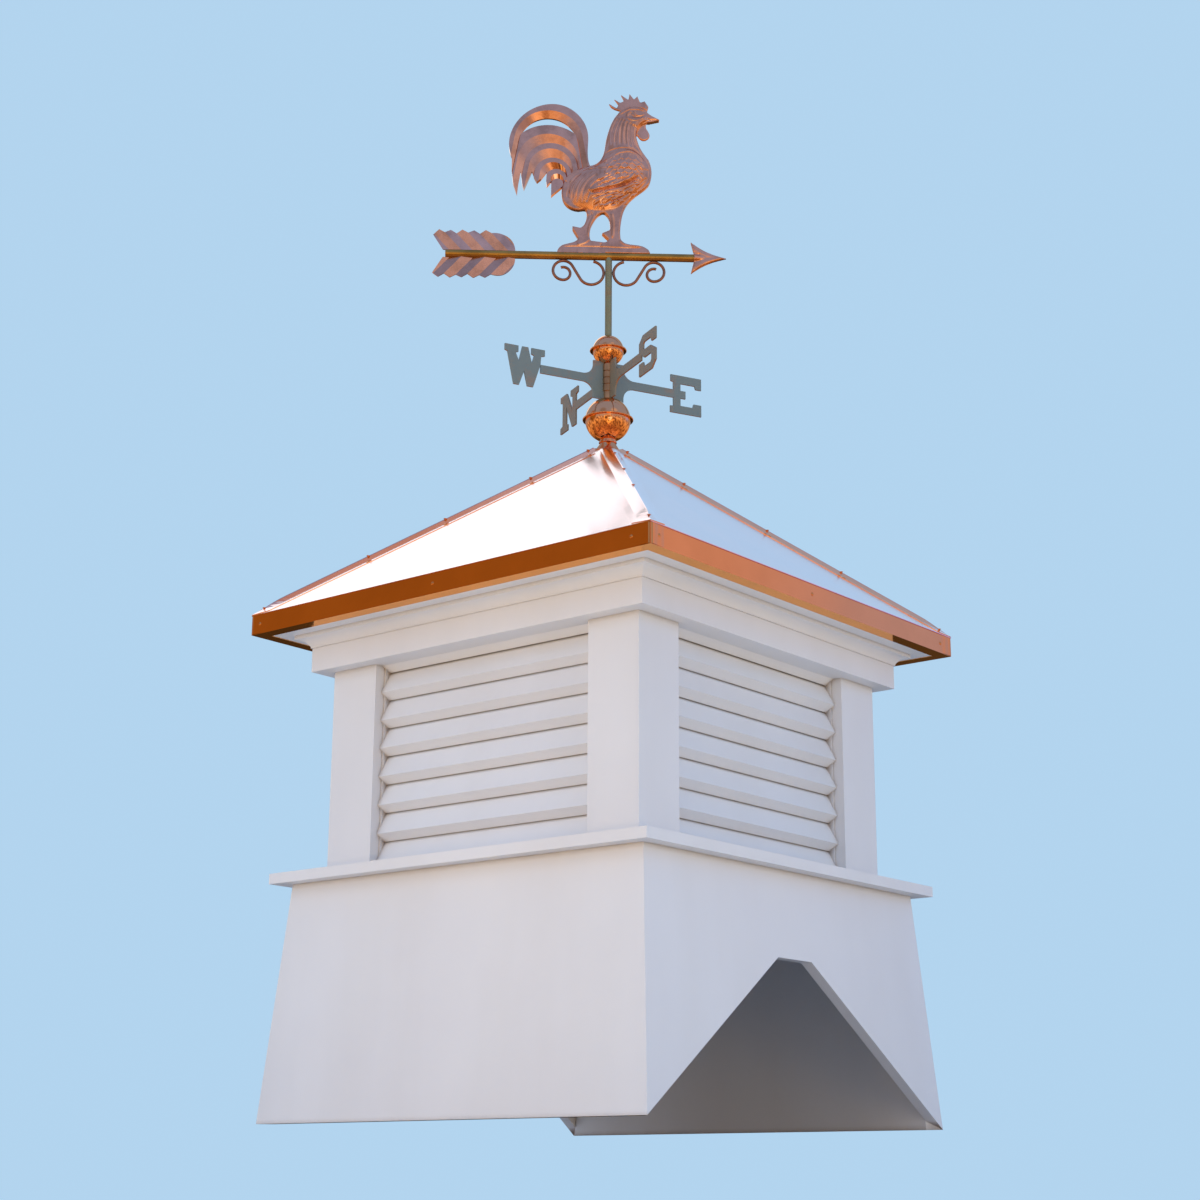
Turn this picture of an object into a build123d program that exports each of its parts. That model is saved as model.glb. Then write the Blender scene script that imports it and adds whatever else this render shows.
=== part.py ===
from build123d import *
from math import acos, atan2, cos, degrees, hypot, radians, sin, sqrt, tan
import os

os.makedirs("parts", exist_ok=True)

# A louvred barn cupola with a copper roof, a turned finial and a rooster weathervane.
# +Z is up, the front looks along -Y, and the origin is at the middle of the base's foot.
# All lengths are in millimetres and all angles in degrees.

# Base that straddles the ridge of the building's roof
base_half = 381.0
base_lean = 28.4
base_height = 368.6
board = 19.0
saddle_pitch = 35.0
saddle_height = 236.0

# Sill cap, corner posts and frieze
sill_overhang = 26.6
sill_thickness = 16.4
sill_ledge = 37.4
body_height = 330.4
post_width = 95.0
frieze_overhang = 26.8
frieze_height = 39.7
frame_depth = 36.2

# Louvre panels, one in each side
blade_pitch = 45.6
blade_count = 8
blade_recess = 13.0
blade_depth = 15.0
blade_slope_height = 31.0
blade_return_height = 11.0
blade_lap_depth = 7.0
blade_lap_height = 10.0
blade_skin = 3.0
first_nose_rise = 1.1
stile_width = 84.0
stile_thickness = 12.0

# Cornice: crown moulding, soffit board and copper fascia
cornice_rise = 19.9
crown_foot = 2.0
crown_reach = 21.0
crown_fillet = 6.0
crown_back = 40.0
soffit_thickness = 16.4
soffit_lap = 42.0
soffit_reveal = 49.4
fascia_flange = 23.0

# Roof: deck boards, copper sheets and hip caps
roof_pitch = 37.9
fascia_height = 33.0
deck_thickness = 18.0
copper = 1.0
eave_overhang = 1.0
hip_cap_width = 24.0
hip_ridge_width = 15.0
hip_ridge_rise = 4.0
hip_cap_gap = 1.0
mast_opening_radius = 10.0
boot_half = 15.0

# Finial: balls, collars and the compass hub on the mast
mast_radius = 6.0
spindle_radius = 4.0
mast_fit = 0.05
block_half = 50.0
block_height = 44.0
lower_ball_radius = 39.0
lower_ball_rise = 42.4
lower_rim_radius = 43.6
upper_ball_radius = 27.0
ball_spacing = 127.0
upper_rim_radius = 31.9
ball_wall = 1.0
rim_thickness = 3.0
rim_edge = 1.4
collar_radius = 13.3
collar_lap = 20.0
collar_ring_radii = [15.3, 13.9]
collar_ring_height = 2.9
collar_ring_edge = 1.2
neck_radius = 9.0

# Compass arms
arm_turn = 65.0
arm_drop = 4.5
arm_depth = 15.0
arm_reach = 120.0
arm_plate = 3.0
hub_radius = 11.0
hub_length = 48.0
hub_ring_count = 4
hub_groove = 1.6
root_gap = 1.5
root_lap = 9.5
root_width = 21.0
root_fillet = 20.0
letter_height = 70.0
letter_overlap = 8.0

# Weathervane, which turns on the mast's spindle
vane_turn = 41.3
vane_tube_radius = 6.0
bearing_clearance = 0.05
end_clearance = 0.2
seat_clearance = 0.05
arrow_rise = 177.0
arrow_tube_radius = 7.0
arrow_tube_wall = 1.2
arrow_tail = 285.0
arrow_nose = 149.0
head_length = 64.0
head_half_height = 31.0
barb_sweep = 6.0
head_plate = 6.0
socket_tip_radius = 1.5
feather_plate = 2.0
feather_half_height = 42.0
feather_tail = 307.0
feather_front = 164.0
feather_bow_radius = 33.0
tooth_pitch = 20.4
tooth_height = 6.0
tooth_count = 5
pleat_depth = 4.0
pleat_lean = 42.0
scroll_wire_radius = 2.5
scroll_loop_radius = 22.0
scroll_end_radius = 18.0
scroll_end_reach = 79.0
scroll_curl_radius = 12.0
scroll_start_angle = 100.0
scroll_curl_turn = 200.0
rooster_height = 310.0
rooster_plate = 12.0
mound_lap = 4.0
comb_plate = 4.0
tail_plate = 10.0
tail_relief = 3.0
tail_splay = 10.0
tail_drop = 150.0

# Widths, heights and slopes that follow from the sizes above
base_top_half = base_half - base_lean
sill_half = base_top_half + sill_overhang
body_half = base_top_half - sill_ledge
frame_inner_half = body_half - frame_depth
frieze_half = body_half + frieze_overhang
crown_top_half = frieze_half + crown_reach
soffit_inner_half = frieze_half - soffit_lap
fascia_half = crown_top_half + soffit_reveal
sill_top = base_height + sill_thickness
frieze_bottom = sill_top + body_height
frieze_top = frieze_bottom + frieze_height
soffit_bottom = frieze_top + cornice_rise
soffit_top = soffit_bottom + soffit_thickness
fascia_bottom = soffit_bottom - copper
roof_slope = tan(radians(roof_pitch))
roof_cos = cos(radians(roof_pitch))
sheet_edge_half = fascia_half + eave_overhang
deck_apex = fascia_bottom + fascia_height + roof_slope * fascia_half
boot_top = deck_apex + 2 * copper / roof_cos
lower_ball_height = boot_top + lower_ball_rise
upper_ball_height = lower_ball_height + ball_spacing
root_foot = lower_ball_radius + root_gap
root_height = ball_spacing - upper_ball_radius + root_lap - root_foot
hub_height = lower_ball_height + root_foot + root_height / 2
arm_height = hub_height - arm_drop
arrow_height = upper_ball_height + arrow_rise
perch_height = arrow_height + arrow_tube_radius

sides = {"front": 0, "right": 90, "back": 180, "left": 270}
corners = {"front_right": 0, "back_right": 90, "back_left": 180, "front_left": 270}


def roof_height(reach, lift):
    """Height of the plane that lies lift above the deck's top, at a distance from the axis."""
    return deck_apex + lift / roof_cos - roof_slope * reach


# Vertical planes through the axis and the four corners, where neighbouring pieces are mitred
right_mitre = Plane(origin=(0, 0, 0), z_dir=(-1, -1, 0))
left_mitre = Plane(origin=(0, 0, 0), z_dir=(1, -1, 0))


def mitred_run(section):
    """The front length of a square ring: its section drawn as (y, z) and mitred at both ends."""
    with BuildPart() as run:
        with BuildSketch(Plane.YZ):
            with BuildLine():
                Polyline(*section, close=True)
            make_face()
        extrude(amount=sheet_edge_half + board, both=True)
        split(bisect_by=right_mitre, keep=Keep.TOP)
        split(bisect_by=left_mitre, keep=Keep.TOP)
    return run.part


# Base panels: boards that lean in, notched on the right and left to sit over the ridge
base_run = mitred_run([
    (-base_half, 0),
    (-base_top_half, base_height),
    (board - base_top_half, base_height),
    (board - base_half, 0),
])
saddle_slope = tan(radians(saddle_pitch))
saddle_flat_half = base_half - saddle_height / saddle_slope
for side, turn in sides.items():
    with BuildPart() as base_panel:
        add(base_run, rotation=(0, 0, turn))
        if side in ("right", "left"):
            with BuildSketch(Plane.YZ):
                with BuildLine():
                    Polyline(
                        (-base_half, 0),
                        (-saddle_flat_half, saddle_height),
                        (saddle_flat_half, saddle_height),
                        (base_half, 0),
                        close=True,
                    )
                make_face()
            extrude(amount=base_half, both=True, mode=Mode.SUBTRACT)
    base_panel.part.label = f"base_{side}"
    export_step(base_panel.part, f"parts/base_{side}.step")

# Sill cap boards over the base
sill_run = mitred_run([
    (-sill_half, base_height),
    (-sill_half, sill_top),
    (-frame_inner_half, sill_top),
    (-frame_inner_half, base_height),
])
for side, turn in sides.items():
    with BuildPart() as sill:
        add(sill_run, rotation=(0, 0, turn))
    sill.part.label = f"sill_{side}"
    export_step(sill.part, f"parts/sill_{side}.step")

# Corner posts: two boards in an L, from the sill to the frieze
for corner, turn in corners.items():
    with BuildPart() as post:
        with BuildSketch(Plane.XY.offset(sill_top)):
            with Locations((body_half, -body_half)):
                Rectangle(post_width, post_width, align=(Align.MAX, Align.MIN))
            with Locations((body_half - board, board - body_half)):
                Rectangle(post_width, post_width, align=(Align.MAX, Align.MIN), mode=Mode.SUBTRACT)
        extrude(amount=body_height)
    post_turned = post.part.rotate(Axis.Z, turn)
    post_turned.label = f"corner_post_{corner}"
    export_step(post_turned, f"parts/corner_post_{corner}.step")

# Louvre panel: pointed blades between two stiles behind the posts.
# Each blade laps behind the one above it, so that no rain and no view goes straight through.
opening_half = body_half - post_width
nose_face = body_half - blade_recess
stile_face = board + seat_clearance - body_half
with BuildPart() as louvre:
    with BuildSketch(Plane.YZ):
        for blade in range(blade_count):
            nose_height = frieze_bottom + first_nose_rise - blade * blade_pitch
            with BuildLine():
                blade_skin_line = Polyline(
                    (
                        blade_depth + blade_lap_depth - nose_face,
                        nose_height + blade_slope_height + blade_lap_height,
                    ),
                    (blade_depth - nose_face, nose_height + blade_slope_height),
                    (-nose_face, nose_height),
                    (blade_depth - nose_face, nose_height - blade_return_height),
                )
                offset(blade_skin_line, amount=blade_skin, side=Side.LEFT)
            make_face()
    extrude(amount=opening_half - seat_clearance, both=True)
    with BuildSketch(Plane.XY.offset(sill_top)):
        with Locations((0, stile_face)):
            Rectangle(
                2 * opening_half + stile_width,
                stile_thickness,
                align=(Align.CENTER, Align.MIN),
            )
            Rectangle(
                2 * (opening_half - blade_skin),
                stile_thickness,
                align=(Align.CENTER, Align.MIN),
                mode=Mode.SUBTRACT,
            )
    extrude(amount=body_height)
    split(bisect_by=Plane.XY.offset(frieze_bottom), keep=Keep.BOTTOM)
    split(bisect_by=Plane.XY.offset(sill_top), keep=Keep.TOP)
for side, turn in sides.items():
    louvre_turned = louvre.part.rotate(Axis.Z, turn)
    louvre_turned.label = f"louvre_{side}"
    export_step(louvre_turned, f"parts/louvre_{side}.step")

# Frieze boards that tie the post tops together
frieze_run = mitred_run([
    (-frieze_half, frieze_bottom),
    (-frieze_half, frieze_top),
    (-frame_inner_half, frieze_top),
    (-frame_inner_half, frieze_bottom),
])
for side, turn in sides.items():
    with BuildPart() as frieze:
        add(frieze_run, rotation=(0, 0, turn))
    frieze.part.label = f"frieze_{side}"
    export_step(frieze.part, f"parts/frieze_{side}.step")

# Crown moulding: a foot, a cove and a square fillet, run round under the soffit
with BuildPart() as crown_run:
    with BuildSketch(Plane.YZ):
        with BuildLine():
            cove_foot = (-frieze_half - crown_foot, frieze_top + crown_foot)
            cove_head = (-crown_top_half + crown_foot, soffit_bottom - crown_fillet)
            Polyline(
                cove_foot,
                (-frieze_half - crown_foot, frieze_top),
                (crown_back - frieze_half, frieze_top),
                (crown_back - frieze_half, soffit_bottom),
                (-crown_top_half, soffit_bottom),
                (-crown_top_half, soffit_bottom - crown_fillet),
                cove_head,
            )
            RadiusArc(cove_head, cove_foot, crown_reach)
        make_face()
    extrude(amount=sheet_edge_half, both=True)
    split(bisect_by=right_mitre, keep=Keep.TOP)
    split(bisect_by=left_mitre, keep=Keep.TOP)
with BuildPart() as crown:
    for turn in sides.values():
        add(crown_run.part, rotation=(0, 0, turn))
crown.part.label = "crown_moulding"
export_step(crown.part, "parts/crown_moulding.step")

# Soffit board under the eaves
deck_edge_half = fascia_half - copper
with BuildPart() as soffit:
    with BuildSketch(Plane.XY.offset(soffit_bottom)):
        Rectangle(2 * deck_edge_half, 2 * deck_edge_half)
        Rectangle(2 * soffit_inner_half, 2 * soffit_inner_half, mode=Mode.SUBTRACT)
    extrude(amount=soffit_thickness)
soffit.part.label = "soffit"
export_step(soffit.part, "parts/soffit.step")

# Copper fascia: a face with a return flange under the soffit
fascia_run = mitred_run([
    (-fascia_half, fascia_bottom),
    (-fascia_half, roof_height(fascia_half, 0)),
    (-deck_edge_half, roof_height(deck_edge_half, 0)),
    (-deck_edge_half, soffit_bottom),
    (fascia_flange - fascia_half, soffit_bottom),
    (fascia_flange - fascia_half, fascia_bottom),
])
with BuildPart() as fascia:
    for turn in sides.values():
        add(fascia_run, rotation=(0, 0, turn))
fascia.part.label = "fascia"
export_step(fascia.part, "parts/fascia.step")

# Deck boards, each a triangle that sits on the soffit with a level seat
deck_seat_half = (roof_height(0, -deck_thickness) - soffit_top) / roof_slope
deck_run = mitred_run([
    (-deck_edge_half, soffit_top),
    (-deck_edge_half, roof_height(deck_edge_half, 0)),
    (0, roof_height(0, 0)),
    (0, roof_height(0, -deck_thickness)),
    (-deck_seat_half, soffit_top),
])
for side, turn in sides.items():
    with BuildPart() as deck:
        add(deck_run, rotation=(0, 0, turn))
        with Locations((0, 0, deck_apex)):
            Cylinder(mast_opening_radius, 2 * (deck_apex - soffit_top), mode=Mode.SUBTRACT)
    deck.part.label = f"roof_deck_{side}"
    export_step(deck.part, f"parts/roof_deck_{side}.step")

# Copper sheets over the deck boards
sheet_run = mitred_run([
    (-sheet_edge_half, roof_height(sheet_edge_half, 0)),
    (-sheet_edge_half, roof_height(sheet_edge_half, copper)),
    (0, roof_height(0, copper)),
    (0, roof_height(0, 0)),
])
for side, turn in sides.items():
    with BuildPart() as sheet:
        add(sheet_run, rotation=(0, 0, turn))
        with Locations((0, 0, deck_apex)):
            Cylinder(mast_opening_radius, 2 * (deck_apex - soffit_top), mode=Mode.SUBTRACT)
    sheet.part.label = f"roof_sheet_{side}"
    export_step(sheet.part, f"parts/roof_sheet_{side}.step")

# Hip caps: strips folded to a raised ridge, along the four hips over the edges of the sheets
hip_plane = Plane(
    origin=(0, 0, roof_height(0, copper)),
    x_dir=(1, 1, 0),
    z_dir=(1, -1, -roof_slope),
)
hip_fall = roof_slope / sqrt(2 + roof_slope**2)
with BuildPart() as hip_cap:
    with BuildSketch(hip_plane):
        with BuildLine():
            Polyline(
                (0, hip_ridge_rise),
                (hip_ridge_width, -hip_fall * hip_ridge_width),
                (hip_cap_width, -hip_fall * hip_cap_width),
                (hip_cap_width, copper - hip_fall * hip_cap_width),
                (hip_ridge_width, copper - hip_fall * hip_ridge_width),
                (0, hip_ridge_rise + copper),
                close=True,
            )
        make_face()
        mirror(about=Plane.YZ)
    extrude(amount=2 * sheet_edge_half)
    with BuildSketch():
        with Locations((hip_cap_gap / 2, -hip_cap_gap / 2)):
            Rectangle(
                sheet_edge_half - hip_cap_gap / 2,
                sheet_edge_half - hip_cap_gap / 2,
                align=(Align.MIN, Align.MAX),
            )
        Rectangle(2 * (boot_half + hip_cap_gap), 2 * (boot_half + hip_cap_gap), mode=Mode.SUBTRACT)
    extrude(amount=2 * deck_apex, mode=Mode.INTERSECT)
with BuildPart() as hip_caps:
    for turn in sides.values():
        add(hip_cap.part, rotation=(0, 0, turn))
hip_caps.part.label = "hip_caps"
export_step(hip_caps.part, "parts/hip_caps.step")

# Boot and collar: a flashing from the square roof to the beaded neck under the lower ball
with BuildPart() as roof_cone:
    with BuildSketch(Plane.XY.offset(roof_height(2 * boot_half, copper))):
        Rectangle(4 * boot_half, 4 * boot_half)
    with BuildSketch(Plane.XY.offset(roof_height(mast_radius / 2, copper))):
        Rectangle(mast_radius, mast_radius)
    loft()
with BuildPart() as collar:
    with BuildSketch(Plane.XY.offset(roof_height(boot_half, copper))):
        Rectangle(2 * boot_half, 2 * boot_half)
    with BuildSketch(Plane.XY.offset(boot_top)):
        Circle(collar_radius)
    loft()
    add(roof_cone, mode=Mode.SUBTRACT)
    for ring, ring_radius in enumerate(collar_ring_radii):
        with Locations((0, 0, boot_top + ring * collar_ring_height)):
            Cylinder(ring_radius, collar_ring_height, align=(Align.CENTER, Align.CENTER, Align.MIN))
        ring_edges = collar.edges().filter_by(GeomType.CIRCLE).group_by(Axis.Z)[-1]
        fillet(ring_edges.sort_by(SortBy.RADIUS)[-1], collar_ring_edge)
    with BuildSketch(Plane.XY.offset(boot_top)):
        Circle(collar_ring_radii[-1] - collar_ring_edge)
    extrude(amount=lower_ball_rise - collar_lap)
    with Locations((0, 0, lower_ball_height)):
        Sphere(lower_ball_radius + seat_clearance, mode=Mode.SUBTRACT)
    with Locations((0, 0, boot_top)):
        Cylinder(mast_radius + mast_fit, 2 * (lower_ball_rise + boot_half), mode=Mode.SUBTRACT)
collar.part.label = "roof_collar"
export_step(collar.part, "parts/roof_collar.step")

# Block under the peak that holds the mast
block_shoulder = roof_height(block_half, -deck_thickness)
block_foot = block_shoulder - block_height
with BuildPart() as block:
    with BuildSketch(Plane.XY.offset(block_foot)):
        Rectangle(2 * block_half, 2 * block_half)
    extrude(amount=block_height)
    with BuildSketch(Plane.XY.offset(block_shoulder)):
        Rectangle(2 * block_half, 2 * block_half)
    with BuildSketch(Plane.XY.offset(roof_height(mast_opening_radius, -deck_thickness))):
        Rectangle(2 * mast_opening_radius, 2 * mast_opening_radius)
    loft()
    with Locations((0, 0, block_shoulder)):
        Cylinder(mast_radius + mast_fit, 2 * (block_height + block_half), mode=Mode.SUBTRACT)
block.part.label = "mast_block"
export_step(block.part, "parts/mast_block.step")

# Mast: a rod from the block to the top of the upper ball, with a spindle for the vane above it
upper_ball_top = upper_ball_height + upper_ball_radius
vane_foot = upper_ball_top + end_clearance + ball_wall
spindle_top = arrow_height - arrow_tube_radius - vane_tube_radius
with BuildPart() as mast:
    with BuildSketch(Plane.XY.offset(block_foot)):
        Circle(mast_radius)
    extrude(amount=vane_foot - end_clearance - block_foot)
    with BuildSketch(Plane.XY.offset(vane_foot - end_clearance)):
        Circle(spindle_radius)
    extrude(amount=spindle_top - vane_foot + end_clearance)
    chamfer(mast.edges().sort_by(Axis.Z)[-1], spindle_radius / 2)
mast.part.label = "mast"
export_step(mast.part, "parts/mast.step")


def finial_ball(radius, rim_radius, height):
    """A hollow ball of two spun halves joined at a rolled rim, bored for the mast."""
    with BuildPart() as ball:
        with Locations((0, 0, height)):
            Sphere(radius)
            Cylinder(rim_radius, rim_thickness)
            fillet(ball.edges().filter_by(GeomType.CIRCLE).sort_by(SortBy.RADIUS)[-2:], rim_edge)
            Sphere(radius - ball_wall, mode=Mode.SUBTRACT)
            Cylinder(mast_radius + mast_fit, 2 * rim_radius, mode=Mode.SUBTRACT)
    return ball.part


lower_ball = finial_ball(lower_ball_radius, lower_rim_radius, lower_ball_height)
lower_ball.label = "lower_ball"
export_step(lower_ball, "parts/lower_ball.step")
upper_ball = finial_ball(upper_ball_radius, upper_rim_radius, upper_ball_height)
upper_ball.label = "upper_ball"
export_step(upper_ball, "parts/upper_ball.step")

# Compass hub: turned rings between the balls, slotted for the four arms
finial_balls = [(lower_ball_height, lower_ball_radius), (upper_ball_height, upper_ball_radius)]
root_inner = hub_radius - 2 * hub_groove
hub_bottom = hub_height - hub_length / 2
hub_ring = hub_length / hub_ring_count
arm_planes = {
    "ew": Plane(
        origin=(0, 0, arm_height),
        x_dir=(cos(radians(arm_turn)), sin(radians(arm_turn)), 0),
        z_dir=(sin(radians(arm_turn)), -cos(radians(arm_turn)), 0),
    ),
    "ns": Plane(
        origin=(0, 0, arm_height),
        x_dir=(sin(radians(arm_turn)), -cos(radians(arm_turn)), 0),
        z_dir=(-cos(radians(arm_turn)), -sin(radians(arm_turn)), 0),
    ),
}
with BuildPart() as hub:
    with BuildSketch(Plane.XY.offset(hub_bottom)):
        Circle(hub_radius)
    extrude(amount=hub_length)
    for ring in range(1, hub_ring_count):
        with BuildSketch(Plane.XY.offset(hub_bottom + ring * hub_ring)):
            Circle(hub_radius)
            Circle(hub_radius - hub_groove, mode=Mode.SUBTRACT)
        extrude(amount=hub_groove / 2, both=True, mode=Mode.SUBTRACT)
    with Locations((0, 0, hub_height)):
        Cylinder(neck_radius, ball_spacing - upper_ball_radius)
    with Locations((0, 0, arm_height)):
        Box(2 * hub_radius, arm_plate, root_height, rotation=(0, 0, arm_turn), mode=Mode.SUBTRACT)
        Box(arm_plate, 2 * hub_radius, root_height, rotation=(0, 0, arm_turn), mode=Mode.SUBTRACT)
        Cylinder(root_inner, root_height)
        Cylinder(mast_radius + mast_fit, ball_spacing, mode=Mode.SUBTRACT)
    for ball_height, ball_radius in finial_balls:
        with Locations((0, 0, ball_height)):
            Sphere(ball_radius + seat_clearance, mode=Mode.SUBTRACT)
hub.part.label = "compass_hub"
export_step(hub.part, "parts/compass_hub.step")

# Compass arms: flat plates with a flared root, and a cut letter at each end
letter_outlines = {
    "east": [
        (0, 0), (61, 0), (61, 21), (46, 21), (44, 14), (20, 14), (20, 28), (30, 28), (30, 42), (20, 42),
        (20, 55), (48, 55), (50, 49), (61, 49), (61, 70), (1, 70), (1, 58), (6, 57), (6, 12), (0, 12),
    ],
    "west": [
        (17, 0), (27, 0), (36, 26), (42, 0), (53, 0), (66, 42), (67, 57), (74, 59), (74, 70), (49, 70),
        (49, 59), (54, 57), (50, 42), (43, 70), (32, 70), (26, 43), (20, 57), (25, 59), (25, 70), (0, 70),
        (0, 59), (5, 57),
    ],
    "north": [
        (0, 0), (30, 0), (30, 11), (24, 13), (24, 46), (48, 0), (64, 0), (64, 57), (72, 59), (72, 70),
        (42, 70), (42, 59), (50, 57), (50, 28), (26, 70), (0, 70), (0, 59), (9, 57), (9, 13), (0, 11),
    ],
    "south": [
        (0, 0), (46, 0), (60, 12), (60, 32), (42, 43), (18, 43), (15, 46), (15, 54), (18, 57), (42, 57),
        (45, 49), (60, 49), (60, 70), (14, 70), (0, 58), (0, 42), (18, 29), (42, 29), (45, 26), (45, 17),
        (42, 13), (18, 13), (15, 22), (0, 22),
    ],
}
letter_scale = letter_height / max(y for x, y in letter_outlines["north"])
root_reach = root_inner + root_width


def letter_points(letter, shift):
    """Corners of a letter, centred in height, with its left edge at shift."""
    return [
        (shift + letter_scale * x, letter_scale * y - letter_height / 2)
        for x, y in letter_outlines[letter]
    ]


def letter_width(letter):
    """Width of a letter between its outermost corners."""
    return letter_scale * max(x for x, y in letter_outlines[letter])


for axis_name, near_letter, far_letter in (("ew", "west", "east"), ("ns", "north", "south")):
    with BuildPart() as arms:
        with BuildSketch(arm_planes[axis_name]):
            Rectangle(2 * (arm_reach + letter_overlap), arm_depth)
            Rectangle(2 * (root_reach + root_fillet), root_height)
            with GridLocations(2 * (root_reach + root_fillet), arm_depth + 2 * root_fillet, 2, 2):
                Circle(root_fillet, mode=Mode.SUBTRACT)
            with GridLocations(2 * (root_reach + root_fillet), root_height, 2, 2):
                Rectangle(
                    2 * root_fillet,
                    root_height - arm_depth - 2 * root_fillet,
                    mode=Mode.SUBTRACT,
                )
            Rectangle(2 * root_inner, root_height, mode=Mode.SUBTRACT)
            near_shift = -arm_reach - letter_width(near_letter)
            for letter, shift in ((near_letter, near_shift), (far_letter, arm_reach)):
                with BuildLine():
                    Polyline(*letter_points(letter, shift), close=True)
                make_face()
        extrude(amount=arm_plate / 2, both=True)
        for ball_height, ball_radius in finial_balls:
            with Locations((0, 0, ball_height)):
                Sphere(ball_radius + seat_clearance, mode=Mode.SUBTRACT)
    arms.part.label = f"compass_arms_{axis_name}"
    export_step(arms.part, f"parts/compass_arms_{axis_name}.step")

# The weathervane's own frame: x along the arrow, y up
vane_direction = Vector(cos(radians(vane_turn)), sin(radians(vane_turn)), 0)
vane_normal = Vector(sin(radians(vane_turn)), -cos(radians(vane_turn)), 0)
arrow_plane = Plane(origin=(0, 0, arrow_height), x_dir=vane_direction, z_dir=vane_normal)
perch_plane = Plane(origin=(0, 0, perch_height), x_dir=vane_direction, z_dir=vane_normal)


def across_arrow(reach):
    """Plane square to the arrow, at a distance from the axis towards its nose."""
    centre = Vector(0, 0, arrow_height) + vane_direction * reach
    return Plane(origin=centre, x_dir=vane_normal, z_dir=vane_direction)


# Shape of the arrow's tube, used to seat what it carries
with BuildPart() as arrow_seat:
    with BuildSketch(across_arrow(-feather_tail)):
        Circle(arrow_tube_radius + seat_clearance)
    extrude(amount=feather_tail + arrow_nose + head_length)

# Upright tube that turns on the spindle and carries the arrow
with BuildPart() as vane_tube:
    with BuildSketch(Plane.XY.offset(vane_foot)):
        Circle(vane_tube_radius)
    extrude(amount=arrow_height - vane_foot)
    add(arrow_seat, mode=Mode.SUBTRACT)
    split(bisect_by=Plane.XY.offset(arrow_height), keep=Keep.BOTTOM)
    with BuildSketch(Plane.XY.offset(vane_foot)):
        Circle(spindle_radius + bearing_clearance)
    extrude(amount=spindle_top + end_clearance - vane_foot, mode=Mode.SUBTRACT)
vane_tube.part.label = "vane_tube"
export_step(vane_tube.part, "parts/vane_tube.step")

# Arrow shaft: a straight tube
with BuildPart() as arrow_tube:
    with BuildSketch(across_arrow(-arrow_tail)):
        Circle(arrow_tube_radius)
        Circle(arrow_tube_radius - arrow_tube_wall, mode=Mode.SUBTRACT)
    extrude(amount=arrow_tail + arrow_nose)
arrow_tube.part.label = "arrow_tube"
export_step(arrow_tube.part, "parts/arrow_tube.step")

# Arrow head: a barbed plate over a tapered socket
barb_reach = arrow_nose - barb_sweep
with BuildPart() as arrow_head:
    with BuildSketch(arrow_plane):
        with BuildLine():
            upper_edge = RadiusArc(
                (barb_reach, head_half_height), (barb_reach + head_length, 0), -2 * head_length
            )
            Polyline(
                upper_edge @ 0,
                (arrow_nose, arrow_tube_radius),
                (arrow_nose, 0),
                (barb_reach + head_length, 0),
            )
        make_face()
        mirror(about=Plane.XZ)
    extrude(amount=head_plate / 2, both=True)
    with BuildSketch(across_arrow(arrow_nose)):
        Circle(arrow_tube_radius)
    with BuildSketch(across_arrow(arrow_nose + head_length / 2)):
        Circle(socket_tip_radius)
    loft()
arrow_head.part.label = "arrow_head"
export_step(arrow_head.part, "parts/arrow_head.step")

# Arrow feathers: a pleated vane with a toothed edge above the shaft, and its mirror image below
valley_height = feather_half_height - tooth_height / 2
pleat_shift = valley_height * tan(radians(pleat_lean))
pleat_fold = [
    (tooth_pitch * pleat - feather_tail + pleat_shift, pleat_depth / 2 * (-1) ** pleat)
    for pleat in range(-2, tooth_count + 4)
]
pleat_direction = Vector(0, 0, cos(radians(pleat_lean))) - vane_direction * sin(radians(pleat_lean))
tooth_line = [(-arrow_tail, 0), (-feather_tail, feather_half_height - tooth_height)]
for tooth in range(tooth_count):
    tooth_start = tooth_pitch * tooth - feather_tail
    tooth_line.append((tooth_start + tooth_pitch / 2, feather_half_height + tooth_height / 2))
    tooth_line.append((tooth_start + tooth_pitch, valley_height))
with BuildPart() as feathers:
    with BuildSketch(Plane(origin=(0, 0, arrow_height), x_dir=vane_direction, z_dir=(0, 0, 1))):
        with BuildLine():
            Polyline(
                *[(x, y + feather_plate / 2) for x, y in pleat_fold],
                *[(x, y - feather_plate / 2) for x, y in reversed(pleat_fold)],
                close=True,
            )
        make_face()
    extrude(amount=2 * feather_half_height, dir=pleat_direction)
    with BuildSketch(arrow_plane):
        with BuildLine():
            Polyline(*tooth_line)
            RadiusArc(tooth_line[-1], (-feather_front, 0), feather_bow_radius)
            Line((-feather_front, 0), (-arrow_tail, 0))
        make_face()
    extrude(amount=pleat_depth + feather_plate, both=True, mode=Mode.INTERSECT)
    add(arrow_seat, mode=Mode.SUBTRACT)
    mirror(about=Plane.XY.offset(arrow_height))
feathers.part.label = "arrow_feathers"
export_step(feathers.part, "parts/arrow_feathers.step")

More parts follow.
